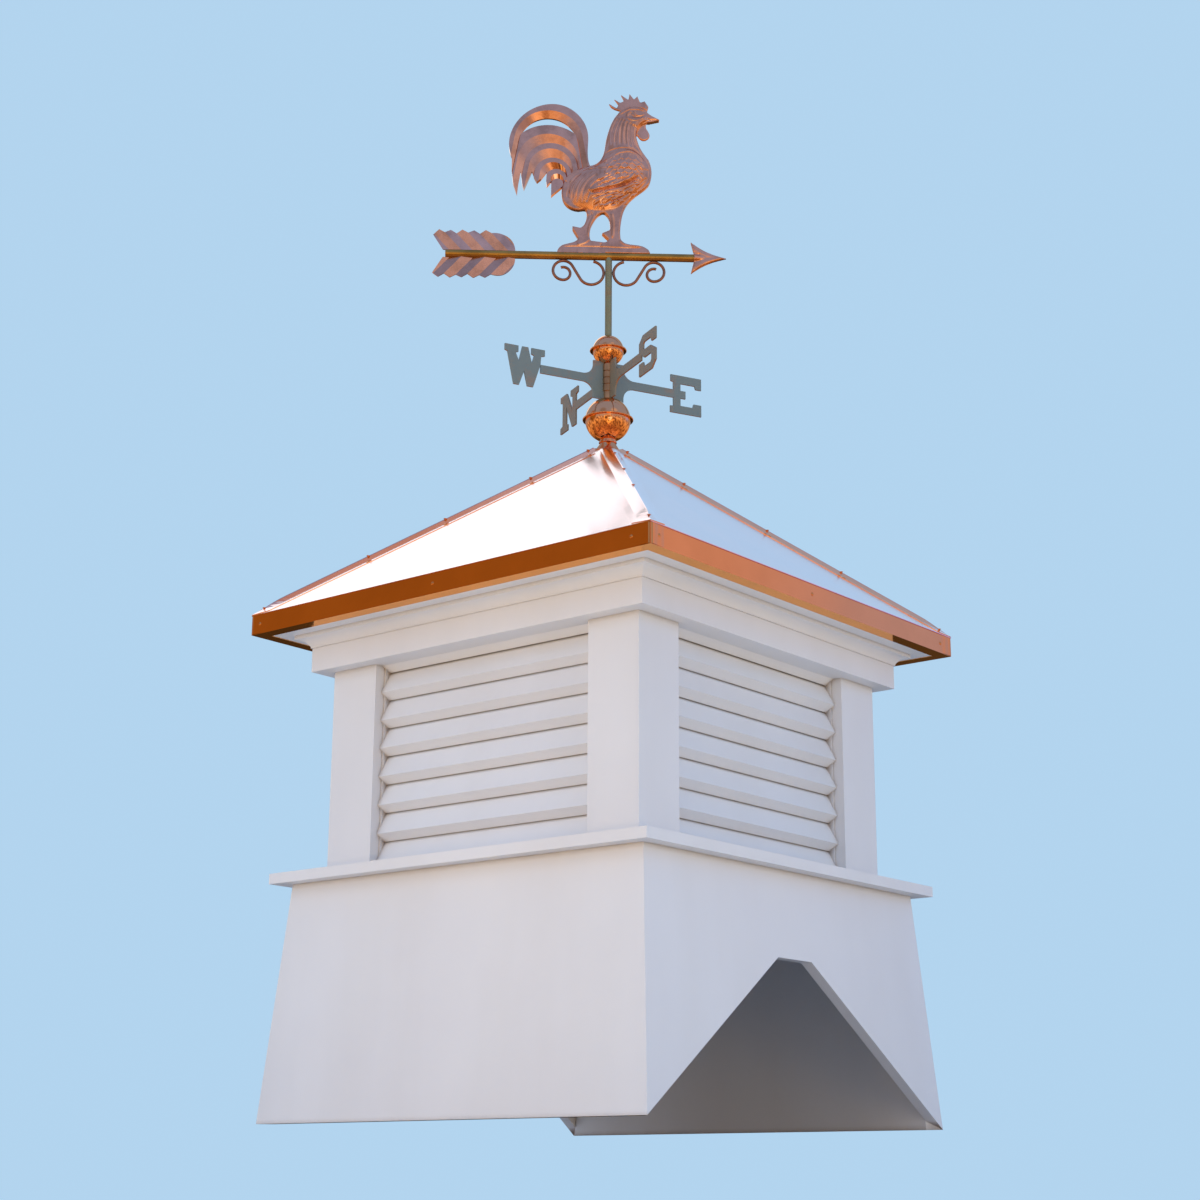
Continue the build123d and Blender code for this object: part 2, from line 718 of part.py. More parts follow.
# Scrolls: bent rods that brace the arrow on the upright tube
loop_reach = vane_tube_radius + scroll_wire_radius + scroll_loop_radius + seat_clearance
scroll_drop = arrow_tube_radius + scroll_wire_radius + scroll_loop_radius + seat_clearance
end_drop = arrow_tube_radius + scroll_wire_radius + scroll_end_radius + seat_clearance
centre_angle = degrees(atan2(scroll_drop - end_drop, scroll_end_reach - loop_reach))
centre_distance = hypot(scroll_drop - end_drop, scroll_end_reach - loop_reach)
leave_angle = centre_angle - degrees(acos((scroll_loop_radius + scroll_end_radius) / centre_distance))
leave_x = cos(radians(leave_angle))
leave_y = sin(radians(leave_angle))
bend_start = (scroll_end_reach - scroll_end_radius * leave_x, -end_drop - scroll_end_radius * leave_y)
with BuildPart() as scroll:
    with BuildLine(arrow_plane):
        loop = CenterArc(
            (loop_reach, -scroll_drop),
            scroll_loop_radius,
            scroll_start_angle,
            leave_angle + 360 - scroll_start_angle,
        )
        link = Line(loop @ 1, bend_start)
        bend = JernArc(link @ 1, link % 1, scroll_end_radius, -leave_angle - 270)
        JernArc(bend @ 1, bend % 1, scroll_curl_radius, -scroll_curl_turn)
    with BuildSketch(Plane(origin=loop @ 0, z_dir=loop % 0)):
        Circle(scroll_wire_radius)
    sweep()
with BuildPart() as scrolls:
    add(scroll.part)
    mirror(about=Plane(origin=(0, 0, 0), z_dir=vane_direction))
scrolls.part.label = "scrolls"
export_step(scrolls.part, "parts/scrolls.step")

# Rooster: a flat outline with a full body, a ruff of neck feathers, comb and wattle.
# It is drawn from the top of the arrow's tube up to the comb, and scaled to its real height.
comb_outline = [
    (-2, 290), (3, 282), (9, 278), (24, 273), (46, 276), (66, 268), (70, 285), (63, 296), (55, 293),
    (50, 306), (44, 299), (36, 310), (34, 298), (20, 308), (26, 295), (19, 292), (8, 299), (16, 287),
    (13, 281),
]
rooster_scale = rooster_height / max(y for x, y in comb_outline)


def drawn(*points):
    """Points of the drawn rooster at its real size."""
    return [(rooster_scale * x, rooster_scale * y) for x, y in points]


# Level sections as distance along the arrow, height, half width and half depth
body_sections = [
    (-18, 80, 24, 8),
    (-20, 94, 48, 19),
    (-13, 114, 60, 27),
    (-1, 134, 66, 29),
    (13, 154, 57, 28),
    (25, 174, 36, 21),
    (23, 190, 26, 14),
]
neck_sections = [
    (14, 157, 56, 30),
    (25, 176, 40, 25),
    (23, 196, 31, 19),
    (22, 216, 26, 15),
    (26, 238, 23, 13),
    (34, 260, 24, 12),
]
tail_seam = drawn((-60, 156), (-76, 141))
with BuildPart() as rooster:
    with BuildSketch(perch_plane):
        with BuildLine():
            rump = Spline(*drawn((-82, 124), (-83, 104), (-77, 90), (-67, 82), (-56, 79), (-41, 82)))
            hind_leg = Spline(rump @ 1, *drawn((-39, 68), (-44, 50)))
            hind_spur = Polyline(
                hind_leg @ 1, *drawn((-49, 45), (-64, 48), (-64, 42), (-56, 28), (-54, 24))
            )
            mound_back = Spline(hind_spur @ 1, *drawn((-64, 17), (-78, 13), (-90, 0)))
            mound_back_end = (rooster_scale * -90, -mound_lap)
            mound_front_end = (rooster_scale * 72, -mound_lap)
            mound_foot = Polyline(mound_back @ 1, mound_back_end, mound_front_end, *drawn((72, 0)))
            mound_front = Spline(mound_foot @ 1, *drawn((62, 11), (46, 14), (27, 18), (21, 25)))
            breast = Spline(
                mound_front @ 1,
                *drawn(
                    (20, 35), (21, 54), (30, 89), (51, 113), (70, 131),
                    (75, 150), (69, 179), (58, 196), (50, 216), (48, 226), (51, 238),
                ),
            )
            throat = Spline(breast @ 1, *drawn((57, 247), (66, 252)))
            beak = Polyline(throat @ 1, *drawn((73, 253), (90, 257.5), (74, 266), (68, 271)))
            crown_line = Spline(beak @ 1, *drawn((60, 279), (46, 283), (33, 280), (20, 273)))
            nape = Spline(
                crown_line @ 1,
                *drawn((8, 258), (0, 238), (-6, 214), (-9, 193), (-14, 179), (-34, 165)),
            )
            Polyline(nape @ 1, *tail_seam, rump @ 0)
        make_face()
        with BuildLine():
            gap_back = Spline(*drawn((-32, 21), (-32, 45), (-25, 61), (-16, 72), (-9, 75)))
            gap_front = Spline(gap_back @ 1, *drawn((-2, 68), (2, 54), (2, 42)))
            Polyline(
                gap_front @ 1,
                *drawn((-7, 38), (-13, 35), (-4, 26), (0, 23), (-6, 18)),
                gap_back @ 0,
            )
        make_face(mode=Mode.SUBTRACT)
    extrude(amount=rooster_plate / 2, both=True)
    with BuildSketch(perch_plane):
        with BuildLine():
            Polyline(*drawn(*comb_outline), close=True)
        make_face()
        with BuildLine():
            wattle_top = Line(*drawn((52, 244), (66, 251)))
            Spline(wattle_top @ 1, *drawn((67, 240), (72, 227), (62, 217), (52, 223)), wattle_top @ 0)
        make_face()
    extrude(amount=comb_plate / 2, both=True)
    for sections in (body_sections, neck_sections):
        for reach, height, half_width, half_depth in sections:
            centre = vane_direction * reach * rooster_scale
            centre += Vector(0, 0, perch_height + rooster_scale * height)
            with BuildSketch(Plane(origin=centre, x_dir=vane_direction, z_dir=(0, 0, 1))):
                Ellipse(rooster_scale * half_width, rooster_scale * half_depth)
        loft()
    add(arrow_seat, mode=Mode.SUBTRACT)
rooster.part.label = "rooster"
export_step(rooster.part, "parts/rooster.step")


# Tail: long feathers nested in each other, where each is bevelled down to the crest of the next.
# A row holds the arc where the bevel starts and the next crest, as reach, height and radius.
feather_steps = [
    ((-107.4, 210.6, 61.0), (-108.0, 205.1, 52.0)),
    ((-108.3, 171.4, 54.1), (-103.4, 160.9, 46.5)),
    ((-103.5, 158.1, 38.7), (-99.6, 146.4, 32.5)),
    ((-98.5, 146.7, 23.7), (-93.4, 138.8, 18.3)),
    ((-92.1, 136.1, 11.9), (-91.0, 128.0, 10.5)),
]
slot_roof = (-108.0, 205.1, 52.0)
slot_floor = (-107.8, 168.7, 74.0)


def feather_face(reach, height, radius):
    """Flat shape under a feather's crest, with sides that splay down past the tips."""
    with BuildSketch() as face:
        with BuildLine():
            crest = CenterArc(
                (rooster_scale * reach, rooster_scale * height),
                rooster_scale * radius,
                tail_splay,
                180 - 2 * tail_splay,
            )
            left_side = Line(crest @ 1, crest @ 1 + (crest % 1) * tail_drop)
            right_side = Line(crest @ 0, crest @ 0 - (crest % 0) * tail_drop)
            Line(left_side @ 1, right_side @ 1)
        make_face()
    return face.sketch


with BuildPart() as tail_blank:
    with BuildSketch(perch_plane):
        with BuildLine():
            sickle = Spline(
                *drawn(
                    (-34, 165), (-38, 198), (-38, 228), (-52, 260), (-88, 283), (-124, 280),
                    (-159, 255), (-177, 214), (-172, 179),
                )
            )
            tips = Polyline(
                sickle @ 1,
                *drawn(
                    (-172, 152), (-169, 128), (-162, 106), (-160, 127), (-156, 152), (-153, 127),
                    (-150, 117), (-145, 129), (-136, 152), (-132, 141), (-127, 132), (-120, 138),
                    (-110, 152), (-111, 134), (-110, 124), (-102, 134), (-102, 105), (-95, 112),
                    (-82, 124),
                ),
            )
            Polyline(tips @ 1, *reversed(tail_seam), sickle @ 0)
        make_face()
    extrude(amount=tail_plate / 2)
with BuildPart() as tail:
    add(tail_blank.part)
    for bevel, crest in feather_steps:
        with BuildSketch(perch_plane.offset(tail_plate / 2)):
            add(feather_face(*bevel))
        with BuildSketch(perch_plane.offset(tail_plate / 2 - tail_relief)):
            add(feather_face(*crest))
        loft(mode=Mode.SUBTRACT)
        with BuildSketch(perch_plane):
            add(feather_face(*crest))
        extrude(amount=tail_plate / 2)
    add(tail_blank.part, mode=Mode.INTERSECT)
    with BuildSketch(perch_plane):
        with Locations(*drawn(slot_roof[:2])):
            Circle(rooster_scale * slot_roof[2])
        with Locations(*drawn(slot_floor[:2])):
            Circle(rooster_scale * slot_floor[2], mode=Mode.SUBTRACT)
    extrude(amount=tail_plate / 2, mode=Mode.SUBTRACT)
    mirror(about=perch_plane)
tail.part.label = "rooster_tail"
export_step(tail.part, "parts/rooster_tail.step")
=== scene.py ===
"""Looks of a louvred barn cupola with a copper roof and a rooster weathervane, around its CAD model."""

import math

import bmesh
import bpy
import numpy as np
from mathutils import Matrix, Vector
from mathutils.bvhtree import BVHTree


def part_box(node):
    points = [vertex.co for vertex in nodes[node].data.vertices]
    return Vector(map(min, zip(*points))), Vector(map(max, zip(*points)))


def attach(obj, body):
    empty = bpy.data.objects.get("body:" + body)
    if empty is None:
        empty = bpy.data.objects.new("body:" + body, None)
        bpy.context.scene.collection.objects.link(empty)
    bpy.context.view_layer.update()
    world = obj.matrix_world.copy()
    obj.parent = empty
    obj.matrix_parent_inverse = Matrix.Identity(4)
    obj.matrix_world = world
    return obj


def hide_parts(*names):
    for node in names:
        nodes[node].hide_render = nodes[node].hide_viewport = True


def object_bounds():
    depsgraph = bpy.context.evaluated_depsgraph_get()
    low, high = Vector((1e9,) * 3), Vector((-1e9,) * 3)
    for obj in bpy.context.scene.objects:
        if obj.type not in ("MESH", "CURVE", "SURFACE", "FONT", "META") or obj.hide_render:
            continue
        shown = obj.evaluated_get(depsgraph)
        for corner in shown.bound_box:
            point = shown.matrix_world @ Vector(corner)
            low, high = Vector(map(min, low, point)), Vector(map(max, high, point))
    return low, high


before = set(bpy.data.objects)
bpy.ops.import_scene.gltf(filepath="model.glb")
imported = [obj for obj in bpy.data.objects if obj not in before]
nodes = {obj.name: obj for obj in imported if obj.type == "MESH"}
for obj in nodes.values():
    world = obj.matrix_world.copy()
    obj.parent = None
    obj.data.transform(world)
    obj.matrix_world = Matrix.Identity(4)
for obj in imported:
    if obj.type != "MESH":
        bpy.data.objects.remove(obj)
cad_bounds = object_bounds()
scene = bpy.context.scene

# Camera, solved from the photograph's straight edges
IMAGE_SIDE = 1200
FOCAL_PIXELS = 2119.73
SENSOR_WIDTH = 36.0
CAMERA_PLACE = Vector((2.1466, -2.6448, -0.0997))
CAMERA_YAW = math.radians(39.264)
CAMERA_PITCH = math.radians(15.637)
CAMERA_ROLL = math.radians(0.307)

# Direction of the vane's arrow
VANE_TURN = math.radians(41.3)


def make_camera():
    """The photograph's camera: below the eaves, looking up at the near corner."""
    forward = Vector((
        -math.sin(CAMERA_YAW) * math.cos(CAMERA_PITCH),
        math.cos(CAMERA_YAW) * math.cos(CAMERA_PITCH),
        math.sin(CAMERA_PITCH),
    ))
    level_right = Vector((math.cos(CAMERA_YAW), math.sin(CAMERA_YAW), 0))
    level_up = level_right.cross(forward)
    right = math.cos(CAMERA_ROLL) * level_right + math.sin(CAMERA_ROLL) * level_up
    up = math.cos(CAMERA_ROLL) * level_up - math.sin(CAMERA_ROLL) * level_right
    camera_data = bpy.data.cameras.new("camera")
    camera_data.sensor_width = SENSOR_WIDTH
    camera_data.lens = FOCAL_PIXELS / IMAGE_SIDE * SENSOR_WIDTH
    camera = bpy.data.objects.new("camera", camera_data)
    turn = Matrix((right, up, -forward)).transposed().to_4x4()
    camera.matrix_world = Matrix.Translation(CAMERA_PLACE) @ turn
    scene.collection.objects.link(camera)
    scene.camera = camera


class NodeTree:
    """A small helper that builds a tree of shader nodes."""

    # Places of a colour mix node's share, two colours and result among its sockets
    MIX_INPUTS = (0, 6, 7)
    MIX_RESULT = 2

    def __init__(self, tree):
        self.tree = tree

    def add(self, kind, **settings):
        node = self.tree.nodes.new(kind)
        for name, value in settings.items():
            setattr(node, name, value)
        return node

    def link(self, source, target):
        self.tree.links.new(source, target)

    def feed(self, socket, value):
        """Sets a socket from another socket, a colour or a number."""
        if isinstance(value, bpy.types.NodeSocket):
            self.link(value, socket)
        elif isinstance(value, tuple):
            socket.default_value = (*value, 1.0)
        else:
            socket.default_value = value

    def mix(self, share, first, second, kind="MIX"):
        """Two colours mixed by a blend kind; each value is a socket, a colour or a number."""
        node = self.add("ShaderNodeMix", data_type="RGBA", blend_type=kind)
        for index, value in zip(self.MIX_INPUTS, (share, first, second)):
            self.feed(node.inputs[index], value)
        return node.outputs[self.MIX_RESULT]

    def ramp(self, value, stops):
        """A colour or grey ramp: stops are pairs of a place and a colour or grey."""
        node = self.add("ShaderNodeValToRGB")
        elements = node.color_ramp.elements
        while len(elements) < len(stops):
            elements.new(1.0)
        for element, (place, colour) in zip(elements, stops):
            element.position = place
            channels = colour if isinstance(colour, tuple) else (colour, colour, colour)
            element.color = (*channels, 1.0)
        self.link(value, node.inputs["Fac"])
        return node.outputs["Color"]

    def spread(self, value, low, high, interpolation="LINEAR"):
        """The value's place between low and high, from 0 to 1."""
        node = self.add("ShaderNodeMapRange", interpolation_type=interpolation)
        node.inputs["From Min"].default_value = low
        node.inputs["From Max"].default_value = high
        self.link(value, node.inputs["Value"])
        return node.outputs["Result"]


class Shader(NodeTree):
    """A small helper that builds one material's nodes."""

    def __init__(self, name):
        self.material = bpy.data.materials.new(name)
        self.material.use_nodes = True
        super().__init__(self.material.node_tree)
        self.surface = self.tree.nodes["Principled BSDF"]
        self.coordinates = self.add("ShaderNodeTexCoord")

    def set(self, **values):
        """Sets the shader's own sockets; an underscore in a name stands for a space."""
        for name, value in values.items():
            self.feed(self.surface.inputs[name.replace("_", " ")], value)

    def noise(self, scale, detail=3.0, stretch=(1, 1, 1), roughness=0.5):
        """Noise over object coordinates in metres, stretched along the axes."""
        mapping = self.add("ShaderNodeMapping")
        mapping.inputs["Scale"].default_value = stretch
        self.link(self.coordinates.outputs["Object"], mapping.inputs["Vector"])
        node = self.add("ShaderNodeTexNoise")
        node.inputs["Scale"].default_value = scale
        node.inputs["Detail"].default_value = detail
        node.inputs["Roughness"].default_value = roughness
        self.link(mapping.outputs["Vector"], node.inputs["Vector"])
        return node.outputs["Fac"]

    def openness(self, reach, samples=6):
        """How open the surface is within a reach in metres: 0 in a deep joint, 1 on a free face."""
        hollow = self.add("ShaderNodeAmbientOcclusion", samples=samples)
        hollow.inputs["Distance"].default_value = reach
        return hollow.outputs["AO"]

    def facing(self, axis):
        """How far the surface looks along an axis of the object, from 0 against it to 1 along it."""
        split = self.add("ShaderNodeSeparateXYZ")
        self.link(self.coordinates.outputs["Normal"], split.inputs["Vector"])
        return self.spread(split.outputs[axis], -1.0, 1.0)

    def bump(self, height, strength, distance):
        node = self.add("ShaderNodeBump")
        node.inputs["Strength"].default_value = strength
        node.inputs["Distance"].default_value = distance
        self.link(height, node.inputs["Height"])
        self.link(node.outputs["Normal"], self.surface.inputs["Normal"])

    def colour(self, socket):
        self.link(socket, self.surface.inputs["Base Color"])

    def roughness(self, value, low, high):
        """Roughness that runs from low to high as value runs from 0 to 1."""
        node = self.add("ShaderNodeMapRange")
        node.inputs["To Min"].default_value = low
        node.inputs["To Max"].default_value = high
        self.link(value, node.inputs["Value"])
        self.link(node.outputs["Result"], self.surface.inputs["Roughness"])


# White vinyl: its mottling, its streaks, and painted shade in joints and recesses by their openness within
# a reach in metres
WHITE_MOTTLE = [(0.3, (0.735, 0.735, 0.755)), (0.7, (0.765, 0.77, 0.79))]
WHITE_STREAKS = [(0.3, (0.97, 0.965, 0.955)), (0.6, (1.0, 1.0, 1.0))]
JOINT_PAINTED_SHADE = [(0.1, (0.22, 0.16, 0.12)), (0.42, (0.6, 0.53, 0.47)), (0.62, (1.0, 1.0, 1.0))]
JOINT_REACH = 0.016

# Copper at a grazing angle, and how its weathered blotches darken and lighten the tint
GRAZING_COPPER = (1.0, 0.8, 0.62)
WEATHERING = [(0.35, 0.76), (0.5, 1.0), (0.68, 1.15)]
SMEAR_SHADE = 0.9
BRASS_SHADE = 0.68

# Edges of the grey-green plates, and the share of bare copper in their brown blooms
BARE_EDGE = (0.42, 0.2, 0.1)
DARK_EDGE = (0.06, 0.075, 0.075)
BLOOM_SHARE = 0.45

PLYWOOD_GRAIN = [(0.3, (0.45, 0.31, 0.18)), (0.7, (0.66, 0.5, 0.33))]


def shaded(tint, share):
    return tuple(share * channel for channel in tint)


def white_vinyl():
    """Satin white board: faint mottling, long soft streaks, a fine grain and painted shade in joints and
    recesses.
    """
    shader = Shader("white_vinyl")
    shader.set(Roughness=0.42, IOR=1.46)
    clouds = shader.noise(scale=4.0, detail=4.0)
    streaks = shader.noise(scale=9.0, stretch=(1.0, 1.0, 0.18))
    grain = shader.noise(scale=420.0, detail=2.0)
    mottled = shader.ramp(clouds, WHITE_MOTTLE)
    aged = shader.mix(1.0, mottled, shader.ramp(streaks, WHITE_STREAKS), "MULTIPLY")
    # Painted shade: the colour darkens to dark brown in joints, recesses and under overhangs, where shade
    # falls
    painted_shade = shader.ramp(shader.openness(JOINT_REACH), JOINT_PAINTED_SHADE)
    shader.colour(shader.mix(1.0, aged, painted_shade, "MULTIPLY"))
    shader.roughness(clouds, low=0.36, high=0.5)
    shader.bump(grain, strength=0.12, distance=0.0006)
    return shader.material


def bright_copper(name, tint, rough, wave_depth, grazing=(1.0, 1.0, 1.0)):
    """Lacquered copper sheet with faint smears and slight oil-canning."""
    shader = Shader(name)
    shader.set(Metallic=1.0, Specular_Tint=grazing)
    smears = shader.noise(scale=9.0, detail=6.0, roughness=0.6)
    waves = shader.noise(scale=3.0, detail=1.0)
    shader.colour(shader.ramp(smears, [(0.35, shaded(tint, SMEAR_SHADE)), (0.65, tint)]))
    shader.roughness(smears, low=0.7 * rough, high=1.3 * rough)
    shader.bump(waves, strength=1.0, distance=wave_depth)
    return shader.material


def weathered_copper(name, tint, rough):
    """Copper that has dulled a little: blotches of brown and pink, fine pits, and a smoother shine on the
    lighter blotches.
    """
    shader = Shader(name)
    shader.set(Metallic=1.0, Specular_Tint=GRAZING_COPPER)
    patches = shader.noise(scale=28.0, detail=5.0, roughness=0.65)
    pits = shader.noise(scale=260.0)
    shader.colour(shader.ramp(patches, [(place, shaded(tint, share)) for place, share in WEATHERING]))
    shader.roughness(patches, low=1.3 * rough, high=0.7 * rough)
    shader.bump(pits, strength=0.08, distance=0.0006)
    return shader.material


def brass(name, tint):
    """Dulled brass tube with a soft shine."""
    shader = Shader(name)
    shader.set(Metallic=1.0)
    patches = shader.noise(scale=30.0, detail=4.0)
    specks = shader.noise(scale=240.0, detail=2.0)
    shader.colour(shader.ramp(patches, [(0.35, shaded(tint, BRASS_SHADE)), (0.65, tint)]))
    shader.roughness(patches, low=0.42, high=0.26)
    shader.bump(specks, strength=0.15, distance=0.0004)
    return shader.material


def verdigris(name, tint, metal):
    """Grey-green weathered copper: brown blooms, darker upper edges and bare copper on the lower edges."""
    shader = Shader(name)
    shader.set(Metallic=metal)
    patches = shader.noise(scale=24.0, detail=5.0, roughness=0.6)
    pits = shader.noise(scale=300.0)
    covered = shaded(tint, 1 - BLOOM_SHARE)
    brown = tuple(own + BLOOM_SHARE * bare for own, bare in zip(covered, BARE_EDGE))
    plate = shader.ramp(patches, [(0.3, brown), (0.48, tint), (0.75, tint)])
    facing = shader.facing("Z")
    below = shader.ramp(facing, [(0.1, 1.0), (0.25, 0.0)])
    above = shader.ramp(facing, [(0.75, 0.0), (0.9, 1.0)])
    shader.colour(shader.mix(above, shader.mix(below, plate, BARE_EDGE), DARK_EDGE))
    shader.roughness(patches, low=0.55, high=0.4)
    shader.bump(pits, strength=0.15, distance=0.0006)
    return shader.material


def deck_wood():
    """Plywood of the hidden deck: long grain in a pale brown."""
    shader = Shader("deck_wood")
    shader.set(Roughness=0.7)
    grain = shader.noise(scale=12.0, detail=6.0, stretch=(1.0, 14.0, 14.0), roughness=0.7)
    shader.colour(shader.ramp(grain, PLYWOOD_GRAIN))
    shader.roughness(grain, low=0.8, high=0.6)
    shader.bump(grain, strength=0.2, distance=0.001)
    return shader.material


def dress(names, material):
    """Gives CAD nodes a material in place of the one they came with."""
    for name in names:
        node = nodes[name]
        if not node.data.materials:
            node.data.materials.append(material)
        for slot in range(len(node.data.materials)):
            node.data.materials[slot] = material


def named(*starts):
    """The CAD nodes whose names start so."""
    return [name for name in nodes if name.startswith(starts)]


# Floor: its colour, half its side, and the distances between which it fades out, in metres
FLOOR_COLOUR = (0.78, 0.73, 0.68)
FLOOR_REACH = 12.0
FLOOR_CLEAR_FROM = 3.0
FLOOR_CLEAR_TO = 9.0


def greater(shader, first, second):
    """The greater of two sockets' values."""
    node = shader.add("ShaderNodeMath", operation="MAXIMUM")
    shader.link(first, node.inputs[0])
    shader.link(second, node.inputs[1])
    return node.outputs["Value"]


def make_floor():
    """Pale floor under the cupola that fades into the backdrop.

    It is clear from below, because the camera stands lower than the base, and to reflections.
    """
    mesh = bpy.data.meshes.new("floor")
    corners = [(-1, -1), (1, -1), (1, 1), (-1, 1)]
    mesh.from_pydata([(FLOOR_REACH * x, FLOOR_REACH * y, 0) for x, y in corners], [], [(0, 1, 2, 3)])
    floor = bpy.data.objects.new("floor", mesh)
    scene.collection.objects.link(floor)
    shader = Shader("floor")
    shader.set(Base_Color=FLOOR_COLOUR, Roughness=0.9)
    distance = shader.add("ShaderNodeVectorMath", operation="LENGTH")
    shader.link(shader.coordinates.outputs["Object"], distance.inputs[0])
    faded = shader.spread(distance.outputs["Value"], FLOOR_CLEAR_FROM, FLOOR_CLEAR_TO, "SMOOTHSTEP")
    below = shader.add("ShaderNodeNewGeometry").outputs["Backfacing"]
    reflected = shader.add("ShaderNodeLightPath").outputs["Is Glossy Ray"]
    clearness = greater(shader, greater(shader, below, reflected), faded)
    clear = shader.add("ShaderNodeBsdfTransparent")
    choice = shader.add("ShaderNodeMixShader")
    shader.link(clearness, choice.inputs[0])
    shader.link(shader.surface.outputs["BSDF"], choice.inputs[1])
    shader.link(clear.outputs["BSDF"], choice.inputs[2])
    output = shader.tree.nodes["Material Output"]
    shader.link(choice.outputs["Shader"], output.inputs["Surface"])
    mesh.materials.append(shader.material)


# What the camera sees behind the object
BACKDROP = (0.45, 0.66, 0.86)

# Light that falls on the surfaces, by height above the horizon as the direction's z
AMBIENT = [
    (-1.0, (0.62, 0.59, 0.54)),
    (0.0, (1.2, 0.95, 0.66)),
    (0.25, (0.25, 0.48, 0.86)),
    (1.0, (0.36, 0.52, 0.76)),
]

# What the metal reflects, by height: warm low down, bright at eye level and blue higher up
SURROUNDINGS = [
    (-1.0, (0.28, 0.12, 0.04)),
    (-0.5, (0.5, 0.23, 0.08)),
    (-0.15, (0.8, 0.45, 0.18)),
    (0.02, (0.75, 0.48, 0.3)),
    (0.2, (0.45, 0.42, 0.48)),
    (0.36, (0.32, 0.38, 0.6)),
    (1.0, (0.3, 0.38, 0.64)),
]

# Larger forms in the reflections: azimuth, elevation, inner and outer radius in degrees, and colour
LOBES = [
    (-40.0, -18.0, 14.0, 34.0, (0.09, 0.07, 0.04)),
    (137.0, -14.0, 6.0, 30.0, (1.3, 0.7, 0.22)),
    (106.0, 30.0, 6.0, 20.0, (0.6, 0.52, 0.54)),
    (168.0, 32.0, 6.0, 20.0, (0.26, 0.25, 0.3)),
    (114.0, 5.0, 6.0, 12.0, (0.56, 0.42, 0.42)),
    (130.0, -9.0, 5.0, 12.0, (1.15, 1.1, 0.85)),
    (150.0, -6.0, 4.0, 10.0, (0.28, 0.13, 0.05)),
    (157.0, -2.0, 1.0, 5.0, (1.4, 0.85, 0.2)),
    (164.0, 7.0, 4.0, 10.0, (0.5, 0.4, 0.42)),
    (-137.0, 14.0, 12.0, 26.0, (0.32, 0.14, 0.03)),
    (31.0, 15.0, 4.0, 14.0, (0.5, 0.5, 1.1)),
    (40.0, 17.0, 2.0, 9.0, (0.68, 0.47, 0.62)),
    (-29.0, 27.0, 7.0, 20.0, (0.46, 0.72, 1.06)),
    (-11.0, 44.0, 6.0, 14.0, (0.4, 0.4, 0.44)),
    (-66.0, 51.0, 4.0, 9.0, (0.6, 0.76, 0.98)),
    (-82.0, 58.0, 4.0, 11.0, (0.52, 0.18, 0.05)),
    (-55.0, 37.0, 12.0, 17.0, (1.35, 1.5, 1.7)),
]

# Patches in the reflections from low down: noise scale and detail, tints, and where they fade out
PATCH_SCALE = 6.0
PATCH_DETAIL = 3.0
PATCH_TINTS = [(0.4, (0.35, 0.24, 0.16)), (0.5, (0.95, 0.92, 0.9)), (0.62, (1.4, 1.35, 1.2))]
PATCH_FULL = 0.05
PATCH_GONE = 0.22


def direction(azimuth, elevation):
    """The direction at an azimuth from +Y towards +X and an elevation, both in degrees."""
    around = math.radians(azimuth)
    up = math.radians(elevation)
    return Vector((math.sin(around) * math.cos(up), math.cos(around) * math.cos(up), math.sin(up)))


class World(NodeTree):
    """A small helper that builds the world's nodes."""

    def __init__(self):
        self.world = bpy.data.worlds.new("world")
        self.world.use_nodes = True
        super().__init__(self.world.node_tree)
        self.place = self.add("ShaderNodeTexCoord").outputs["Generated"]
        split = self.add("ShaderNodeSeparateXYZ")
        self.link(self.place, split.inputs["Vector"])
        self.height = split.outputs["Z"]

    def by_height(self, stops):
        """A colour ramp over the direction's height, from -1 below to 1 above."""
        share = self.spread(self.height, -1.0, 1.0)
        return self.ramp(share, [((height + 1) / 2, colour) for height, colour in stops])

    def lobe(self, azimuth, elevation, inner, outer):
        """1 within the inner radius round a direction, fading to 0 at the outer one."""
        towards = self.add("ShaderNodeVectorMath", operation="DOT_PRODUCT")
        towards.inputs[1].default_value = direction(azimuth, elevation)
        self.link(self.place, towards.inputs[0])
        low = math.cos(math.radians(outer))
        high = math.cos(math.radians(inner))
        return self.spread(towards.outputs["Value"], low, high, "SMOOTHSTEP")


def make_world():
    """Pale backdrop for the camera, soft light for surfaces, and a warm to blue surround in reflections."""
    world = World()
    scene.world = world.world
    reflected = world.by_height(SURROUNDINGS)
    for azimuth, elevation, inner, outer, colour in LOBES:
        reflected = world.mix(world.lobe(azimuth, elevation, inner, outer), reflected, colour)
    clumps = world.add("ShaderNodeTexNoise")
    clumps.inputs["Scale"].default_value = PATCH_SCALE
    clumps.inputs["Detail"].default_value = PATCH_DETAIL
    world.link(world.place, clumps.inputs["Vector"])
    patches = world.ramp(clumps.outputs["Fac"], PATCH_TINTS)
    low_down = world.spread(world.height, PATCH_GONE, PATCH_FULL)
    patched = world.mix(low_down, reflected, world.mix(1.0, reflected, patches, "MULTIPLY"))
    rays = world.add("ShaderNodeLightPath")
    lighting = world.mix(rays.outputs["Is Glossy Ray"], world.by_height(AMBIENT), patched)
    seen = world.mix(rays.outputs["Is Camera Ray"], lighting, BACKDROP)
    world.link(seen, world.tree.nodes["Background"].inputs["Color"])


# Lamps: name, place, target, side in metres, power in watts and tint
LAMPS = [
    ("key", (-1.6, -3.6, 2.6), (0, 0, 0.7), 2.4, 33.0, (0.95, 0.98, 1.0)),
    ("fill", (3.6, -0.6, 2.2), (0, 0, 0.7), 2.4, 18.0, (0.48, 0.68, 1.0)),
    ("front_bounce", (0.2, -1.5, 0.05), (0, -0.4, 0.85), 0.9, 11.0, (1.0, 0.62, 0.2)),
    ("right_bounce", (1.5, -0.2, 0.05), (0.4, 0, 0.85), 0.9, 8.0, (1.0, 0.72, 0.34)),
]


